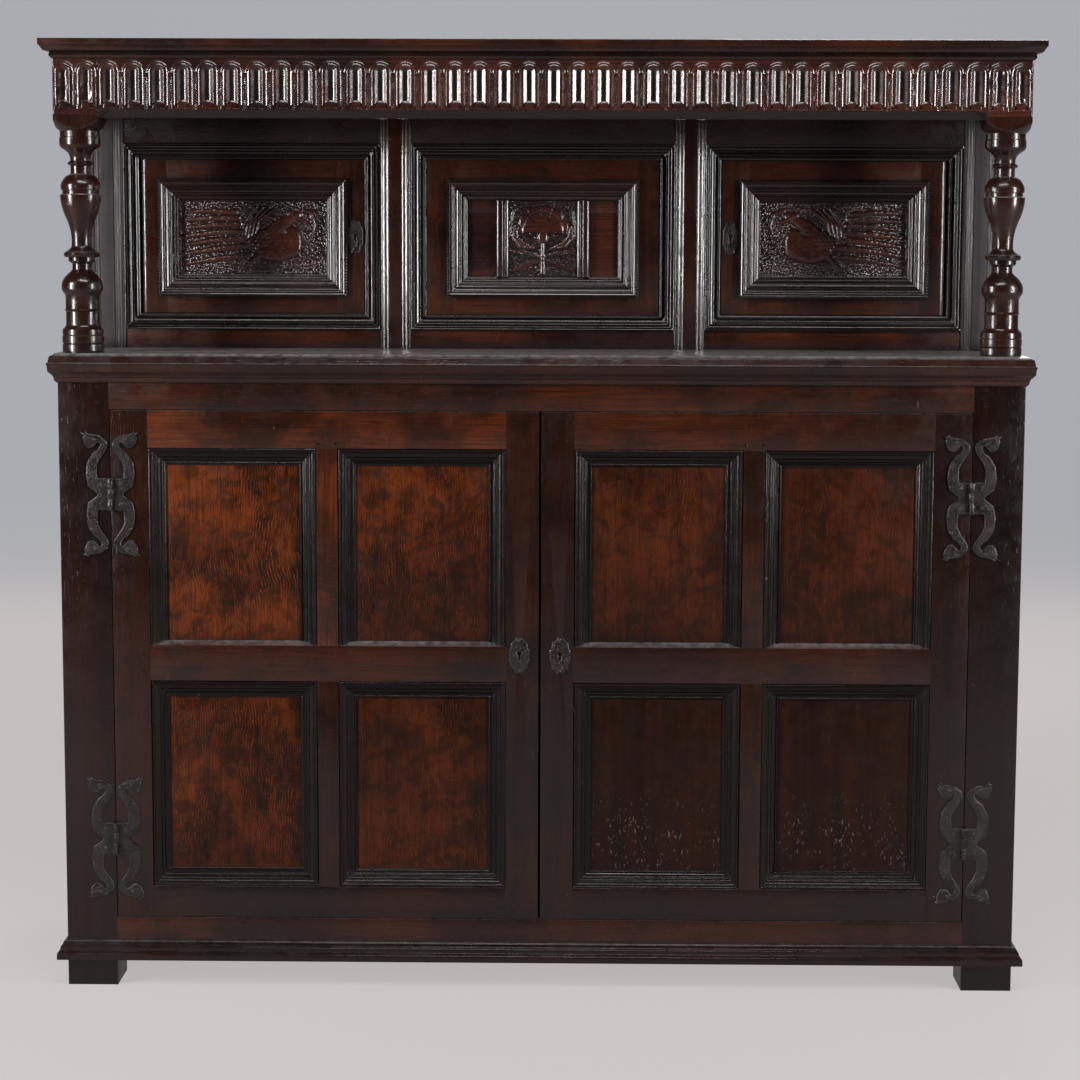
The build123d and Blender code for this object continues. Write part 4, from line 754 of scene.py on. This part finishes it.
def bird(x, z):
    """Height in mm of a carved bird: long tail feathers to its left, its head to the right."""
    height = 0.0
    for x0, z0, x1, z1, width in FEATHERS:
        tail = [(x0, z0, 3.4), ((x0 + x1) / 2, (z0 + z1) / 2 + 1.5, width), (x1, z1, width)]
        inside = stroke(x, z, tail)
        if inside > 0:
            height = max(height, swell(inside, 2.8) + 0.3 * math.sin(2.1 * x + 1.2 * z))
    body = max(blob(x, z, 42, -16, 42, 26, 0.1), blob(x, z, 66, -8, 19, 28),
               stroke(x, z, [(30, 4, 15), (48, 22, 13), (66, 34, 10)]))
    height = max(height, swell(body, 4.4))
    if -2.6 < body < 0 and x > 24:
        height = -1.3
    height = max(height, swell(blob(x, z, 72, 40, 14, 9, -0.2), 4.8))
    height = max(height, swell(stroke(x, z, [(76, 38, 5), (92, 30, 3.4), (99, 20, 1.6)]), 3.6))
    leaf = [(88, 50, 3), (106, 44, 4.4), (112, 24, 4), (106, 8, 1.6)]
    height = max(height, swell(stroke(x, z, leaf), 2.8))
    height = max(height, swell(stroke(x, z, [(8, -30, 7), (-6, -44, 4), (-20, -55, 3)]), 3.2))
    for turn in range(4):
        crest = [(2 - 7 * turn, 8 - 4 * turn, 4), (8 - 8 * turn, 30 - 3 * turn, 4.6),
                 (40 - 12 * turn, 53, 2.4)]
        height = max(height, swell(stroke(x, z, crest), 4.6 - 0.6 * turn))
    wing = blob(x, z, 16, -4, 30, 19, 0.3)
    if wing > 0:
        height = max(height, swell(wing, 5.0) - 1.5 * scales(x, z, 9, 6.5))
    if blob(x, z, 73, 42, 2.4, 2.4) > 0:
        height -= 1.4
    return height


def bird_panels():
    """The carved panels of the two upper doors: a bird on a punched ground."""
    for name, side in SIDES.items():
        low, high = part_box(f"{name}_upper_door_panel")
        x_mid = (low[0] + high[0]) / 2
        z_mid = (low[2] + high[2]) / 2
        half_width = (high[0] - low[0]) / 2 - PANEL_HIDDEN
        half_height = (high[2] - low[2]) / 2 - PANEL_HIDDEN

        def depth(x, z):
            inside = min(half_width - abs(x - x_mid), half_height - abs(z - z_mid)) / MM
            if inside <= 0:
                return 0.0
            u, v = -side * (x - x_mid) / MM, (z - z_mid) / MM
            rise = bird(u, v)
            marks = punched(x / MM, z / MM) * (rise <= 0)
            cut = PANEL_GROUND + marks + unevenness(x, z, 0.005, 0.5) - rise
            return max(0.0, cut) * min(1.0, inside / 1.5) * MM

        panel = carved_face(f"{name}_bird_carving", (low[0], high[0]), (low[2], high[2]), low[1],
                            depth, (0.0, 1.0))
        dress(panel, "oak_panel", f"{name}_upper_door", finish="oak_carved")


def flower(x, z):
    """Height in mm of the carved flower of the centre boss."""
    height = 0.0
    angle = math.atan2(z - 12, x)
    radius = math.hypot(x, z - 12)
    if z > 10:
        lobe = abs(math.sin(angle * 5.5))
        height = swell(44 + 3.5 * lobe - radius, 3.4) - 1.3 * (lobe < 0.22) * (radius > 22)
        height -= 1.0 * max(0.0, 1 - abs(radius - 36) / 1.6)
    for side in (-1, 1):
        u = side * x
        petals = [stroke(u, z, [(17, 50, 2.4), (9, 36, 4), (2.6, 22, 2.6)]),
                  stroke(u, z, [(50, 22, 3.5), (49, 2, 7), (37, -10, 7.5), (17, -16, 3.5)]),
                  stroke(u, z, [(58, -20, 3), (38, -23, 6), (16, -27, 4.5), (1, -32, 3)]),
                  stroke(u, z, [(3, -38, 4), (24, -44, 6), (44, -53, 5), (58, -58, 2)]),
                  stroke(u, z, [(57, 4, 2.5), (57, 26, 4), (52, 50, 2)])]
        for petal in petals:
            if petal > 0:
                height = max(height, swell(petal, 3.6) - 0.8 * max(0.0, math.sin(1.1 * (u + z))))
    height = max(height, swell(blob(x, z, 0, 2, 9.5, 13), 4.4))
    return max(height, swell(stroke(x, z, [(0, -8, 4), (0, -60, 5)]), 3.8))


def boss_carving():
    """The flower on the applied boss of the centre panel."""
    low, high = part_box("centre_boss")
    z_mid = (low[2] + high[2]) / 2
    field = low[1] + BOSS_FIELD * MM
    half_width = high[0] - BOSS_BORDER * MM

    def depth(x, z):
        rise = flower(x / MM, (z - z_mid) / MM)
        from_ends = min(z - low[2], high[2] - z)
        edge = min(1.0, (half_width - abs(x)) / (1.2 * MM), from_ends / (1.2 * MM))
        ground = 0.9 - punched(x / MM, z / MM) * (rise <= 0) + unevenness(x, z, 0.004, 0.3)
        return -min(BOSS_RELIEF, max(0.05, ground) + max(0.0, rise)) * edge * MM

    boss = carved_face("centre_flower_carving", (-half_width, half_width), (low[2], high[2]), field,
                       depth, (0.2, 1.0))
    dress(boss, "oak_panel", "carcase", finish="oak_carved")


# ---- turned columns ----------------------------------------------------------------------------

# Height over the ledge, radius, and how far the curve up to that point swells outwards.
COLUMN = (
    # foot: three rings under a cavetto
    (0, 34.4, 0), (1.5, 35, 0.3), (14, 35, 0.2), (15.2, 33.4, 0), (16.4, 35, 0), (28.6, 35.2, 0.3),
    (29.6, 33.6, 0), (30.8, 34.8, 0), (39.5, 34.6, 0.2), (50, 28.4, -1.8), (69.5, 28.4, 0),
    # lower bulb, neck and collar
    (74.5, 28.8, 2.0), (95.6, 28.8, 0), (104, 33.8, -0.8), (112, 35, 0.5), (136.6, 20.4, 4.2),
    (141, 16.6, -0.5), (150.6, 16.6, -0.3), (155, 22.6, -0.5), (161, 22.6, 0), (162.2, 29.4, 0),
    (169.6, 29.4, 1.2), (173.6, 22.6, 0),
    # tall vase with its cap
    (180, 17, -0.8), (228, 25.6, -3.2), (266.8, 34.9, 2.2), (268.4, 31.2, 0), (274.2, 31.2, -0.2),
    (275.2, 33.2, 0), (297.6, 25.2, 3.4), (302, 16.8, -0.6),
    # neck, ring and capital
    (315, 16.8, -0.3), (319.5, 22.2, 0.8), (324, 16.8, 0.8), (334.6, 18.8, -0.5),
    (341.6, 25.6, -0.8), (349, 34.2, 1.6), (354, 34.8, 0.2), (362.6, 34.6, 0), (363.8, 33.4, 0),
    (373.5, 33.6, 0))
COLUMN_SIDES = 96
BLOCK_TURN = 17.0              # height over which the turning runs out into the square block
BLOCK_TURN_STEPS = 12


def column_heights():
    """Heights and radii of the turning, its curves in short steps, in metres."""
    rows = [(COLUMN[0][0] * MM, COLUMN[0][1] * MM)]
    for (z0, r0, _), (z1, r1, bulge) in zip(COLUMN, COLUMN[1:]):
        steps = max(1, round((z1 - z0) / 3)) if bulge else 1
        for n in range(1, steps + 1):
            t = n / steps
            radius = r0 + (r1 - r0) * t + 4 * bulge * t * (1 - t)
            rows.append(((z0 + (z1 - z0) * t) * MM, radius * MM))
    return rows


def turned_columns():
    """Both columns as fine turnings that run out into their square corner blocks."""
    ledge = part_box("mid_board")[1][2]
    low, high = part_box("turned_columns")
    reach = (high[1] - low[1]) / 2
    carved_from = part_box("frieze_front_rail")[0][2] + (BLOCK_FLUTED_FROM + 0.5) * MM
    bm = bmesh.new()
    places = bm.verts.layers.float_vector.new("timber")
    tones = bm.verts.layers.float.new("tone")
    rows = column_heights()
    height, radius = rows[-1]
    corner = reach * 1.42      # out to the corners of the block
    for n in range(1, BLOCK_TURN_STEPS + 1):
        rows.append((height + BLOCK_TURN * MM * n / BLOCK_TURN_STEPS,
                     radius + (corner - radius) * n / BLOCK_TURN_STEPS))
    rows += [(carved_from - ledge, 1), (carved_from - ledge + 0.2 * MM, 1), (high[2] - ledge, 1)]
    for side in SIDES.values():
        x_mid = side * (high[0] - reach)
        y_mid = low[1] + reach
        rings = []
        for height, radius in rows:
            front = reach - BLOCK_SINK if ledge + height > carved_from + 0.1 * MM else reach
            ring = []
            for n in range(COLUMN_SIDES):
                angle = 2 * math.pi * n / COLUMN_SIDES
                ahead, across = math.cos(angle), math.sin(angle)
                limit = min((front if ahead > 0 else reach) / max(abs(ahead), 1e-6),
                            reach / max(abs(across), 1e-6))
                out = min(radius, limit)
                vert = bm.verts.new((x_mid + out * across, y_mid - out * ahead, ledge + height))
                vert[places] = vert.co + Vector((2.0 * side, 1.3, 0.4))
                vert[tones] = 0.72
                ring.append(vert)
            rings.append(ring)
        for lower, upper in zip(rings, rings[1:]):
            for n in range(COLUMN_SIDES):
                m = (n + 1) % COLUMN_SIDES
                bm.faces.new((lower[n], lower[m], upper[m], upper[n]))
        bm.faces.new(rings[0][::-1])
        bm.faces.new(rings[-1])
    dress(finished(bm, "columns_turned"), "oak_frame", "carcase", "turned_columns")


# ---- pegs and nails ----------------------------------------------------------------------------

def stud(bm, x, y, z, radius, rise, sides, rng):
    """A low domed head on a front face: an oak peg's end or a hand-made nail."""
    start = rng.uniform(0, math.pi)
    rings = []
    for share, lift in ((1.0, -0.2), (0.96, 0.55), (0.55, 1.0)):
        ring = []
        for n in range(sides):
            angle = start + 2 * math.pi * n / sides
            reach = radius * share * rng.uniform(0.92, 1.06)
            ring.append(bm.verts.new((x + reach * math.cos(angle), y - rise * lift,
                                      z + reach * math.sin(angle))))
        rings.append(ring)
    for outer, inner in zip(rings, rings[1:]):
        for n in range(sides):
            m = (n + 1) % sides
            bm.faces.new((outer[n], outer[m], inner[m], inner[n]))
    bm.faces.new(rings[-1])


def studs(name, body, slot, places, radius, rise, sides):
    """One piece with a stud at each place."""
    rng = random.Random(name)
    bm = bmesh.new()
    timber = bm.verts.layers.float_vector.new("timber")
    tones = bm.verts.layers.float.new("tone")
    for x, y, z in places:
        stud(bm, x, y, z, radius, rise, sides, rng)
    for vert in bm.verts:
        vert[timber] = Vector((vert.co.x, vert.co.z, vert.co.y))
        vert[tones] = 0.9
    dress(finished(bm, name), slot, body)


def pairs(x, y, z, gap):
    """Two pegs, one above the other."""
    return [(x, y, z - gap / 2), (x, y, z + gap / 2)]


def all_pegs():
    """Pegs of the tenons: on the posts, the door stiles, and the rails over the muntins."""
    low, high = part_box("lower_front_rails")
    door_low, door_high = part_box("left_lower_door_stiles")
    y = low[1]
    opening = abs(door_low[0]) + DOOR_GAP
    top_rail = (door_high[2] + high[2]) / 2
    bottom_rail = (low[2] + door_low[2]) / 2
    places = []
    for side in SIDES.values():
        places += pairs(side * (opening + 20 * MM), y, top_rail, 26 * MM)
        places += pairs(side * (opening + 20 * MM), y, bottom_rail, 34 * MM)
    studs("carcase_pegs", "carcase", "oak_frame", places, PEG_RADIUS, PEG_RISE, 9)
    for name, side in SIDES.items():
        panel_low, panel_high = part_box(f"{name}_lower_door_mouldings")
        rails = [(door_low[2] + panel_low[2]) / 2, (door_high[2] + panel_high[2]) / 2,
                 MIDDLE_RAIL_LEVEL]
        edges = [panel_low[0] - 12 * MM, panel_high[0] + 12 * MM]
        places = [spot for x in edges for z in rails for spot in pairs(x, y, z, 30 * MM)]
        middle = (panel_low[0] + panel_high[0]) / 2
        places += [(middle + turn * 15 * MM, y, panel_high[2] + 8 * MM) for turn in (-1, 1)]
        places += [(middle + turn * 13 * MM, y, panel_low[2] - 9 * MM) for turn in (-1, 1)]
        studs(f"{name}_door_pegs", f"{name}_lower_door", "oak_frame", places, DOOR_PEG_RADIUS,
              PEG_RISE, 9)


# Nails of half a leaf in mm, out from the pin and up from the hinge's middle.
HINGE_NAILS = ((17.5, 17), (33, 60), (27, 94))


def hinge_nails():
    """Hand-made nails through the hinge leaves and the escutcheons."""
    low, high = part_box("hinge_post_leaves")
    centres = [low[2] + HINGE_HALF_HEIGHT, high[2] - HINGE_HALF_HEIGHT]
    y = low[1] + LEAF_FACE
    for name, side in SIDES.items():
        leaf_low, leaf_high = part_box(f"{name}_lower_door_hinge_leaves")
        pin = side * (abs(leaf_low[0] if side < 0 else leaf_high[0]) - KNUCKLE_RADIUS)
        post, door = [], []
        for centre in centres:
            for out, up in HINGE_NAILS:
                for turn in (-1, 1):
                    post.append((pin + side * out * MM, y, centre + turn * up * MM))
                    door.append((pin - side * out * MM, y, centre + turn * up * MM))
        studs(f"{name}_post_leaf_nails", "carcase", "iron", post, NAIL_RADIUS, NAIL_RISE, 7)
        plate_low, plate_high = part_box(f"{name}_lower_door_lock")
        middle = (plate_low[0] + plate_high[0]) / 2
        ends = [(middle, plate_low[1], plate_low[2] + ESCUTCHEON_NAIL_INSET),
                (middle, plate_low[1], plate_high[2] - ESCUTCHEON_NAIL_INSET)]
        studs(f"{name}_door_leaf_nails", f"{name}_lower_door", "iron", door + ends, NAIL_RADIUS,
              NAIL_RISE, 7)


# ---- studio ------------------------------------------------------------------------------------

def camera():
    """The photograph's view."""
    pitch, yaw, roll = (math.radians(a) for a in (CAMERA_PITCH, CAMERA_YAW, CAMERA_ROLL))
    ahead = Vector((math.sin(yaw) * math.cos(pitch), math.cos(yaw) * math.cos(pitch),
                    -math.sin(pitch)))
    right = Vector((math.cos(yaw), -math.sin(yaw), 0))
    up = right.cross(ahead)
    tilted_right = right * math.cos(roll) + up * math.sin(roll)
    tilted_up = up * math.cos(roll) - right * math.sin(roll)
    made = bpy.data.objects.new("camera", bpy.data.cameras.new("camera"))
    made.data.lens = CAMERA_LENS
    made.data.sensor_width = 36
    made.data.clip_end = 60
    turn = Matrix((tilted_right, tilted_up, -ahead)).transposed().to_4x4()
    made.matrix_world = Matrix.Translation(CAMERA_PLACE) @ turn
    bpy.context.scene.collection.objects.link(made)
    bpy.context.scene.camera = made


def soft_box(name, place, target, size, power):
    """A rectangular studio lamp aimed at a point."""
    lamp = bpy.data.lights.new(name, "AREA")
    lamp.shape = "RECTANGLE"
    lamp.size, lamp.size_y = size
    lamp.energy = power
    made = bpy.data.objects.new(name, lamp)
    made.location = place
    made.rotation_euler = (Vector(target) - Vector(place)).to_track_quat("-Z", "Y").to_euler()
    bpy.context.scene.collection.objects.link(made)


def studio():
    """Floor that curves up into a backdrop, two tall soft boxes, and a top and a back light."""
    bm = bmesh.new()
    depth, bend, top, reach = 5.0, 2.5, 6.0, 9.0
    section = [(-reach, 0.0), (depth, 0.0)]
    section += [(depth + bend * math.sin(a), bend - bend * math.cos(a))
                for a in [math.radians(6 * n) for n in range(1, 16)]]
    section.append((depth + bend, top))
    rows = [[bm.verts.new((x, y, z)) for y, z in section] for x in (-reach, reach)]
    for n in range(len(section) - 1):
        bm.faces.new([rows[0][n], rows[1][n], rows[1][n + 1], rows[0][n + 1]])
    sweep = finished(bm, "sweep")
    sweep.data.materials.append(paper())

    soft_box("box_left", (-2.9, -1.75, 1.45), (0, -0.2, 0.9), (0.34, 1.9), 86)
    soft_box("box_right", (2.9, -1.75, 1.45), (0, -0.2, 0.9), (0.34, 1.9), 74)
    soft_box("box_top", (0, -2.2, 3.8), (0, -0.1, 0.9), (2.4, 0.6), 44)
    soft_box("box_back", (1.2, 3.2, 3.2), (0, 0.3, 0.8), (1.6, 1.0), 45)
    world = bpy.data.worlds.new("room")
    world.use_nodes = True
    background = world.node_tree.nodes["Background"]
    background.inputs[0].default_value = (0.9, 0.95, 1.0, 1)
    background.inputs[1].default_value = 0.02
    bpy.context.scene.world = world


def paper():
    """Pale paper: it takes the object's shadow, and glows for the camera and weakly in mirrors."""
    g = Graph("paper")
    place = g.node("NewGeometry").outputs["Position"]
    parts = g.node("SeparateXYZ", {0: place})
    far = g.ramp(parts.outputs[1], 3.6, 6.2)
    tint = g.mix(far, *PAPER_GLOW)
    shade = g.mix(far, *PAPER_TONES)
    fibre = g.noise(place, 600, 2)
    bump = g.node("Bump", {"Height": fibre, "Distance": 0.1 * MM}).outputs[0]
    diffuse = g.node("BsdfDiffuse", {"Color": shade, "Normal": bump})
    light = g.node("LightPath")
    share = g.ramp(parts.outputs[1], 0.0, 5.0, 0.80, 0.87)
    mirrored = g.math("MAXIMUM", light.outputs["Is Glossy Ray"],
                      light.outputs["Is Transmission Ray"])
    rays = g.math("MAXIMUM", light.outputs["Is Camera Ray"],
                  g.math("MULTIPLY", mirrored, MIRRORED_GLOW))
    seen = g.math("MULTIPLY", rays, share)
    glow = g.node("Emission", {"Color": tint, "Strength": seen})
    both = g.node("AddShader", {0: diffuse.outputs[0], 1: glow.outputs[0]})
    out = g.node("OutputMaterial")
    g.tree.links.new(both.outputs[0], out.inputs["Surface"])
    return g.material


camera()
dress_nodes()
turned_columns()
frieze_carving()
bird_panels()
boss_carving()
all_pegs()
hinge_nails()
studio()
bpy.context.scene.view_settings.view_transform = "Standard"
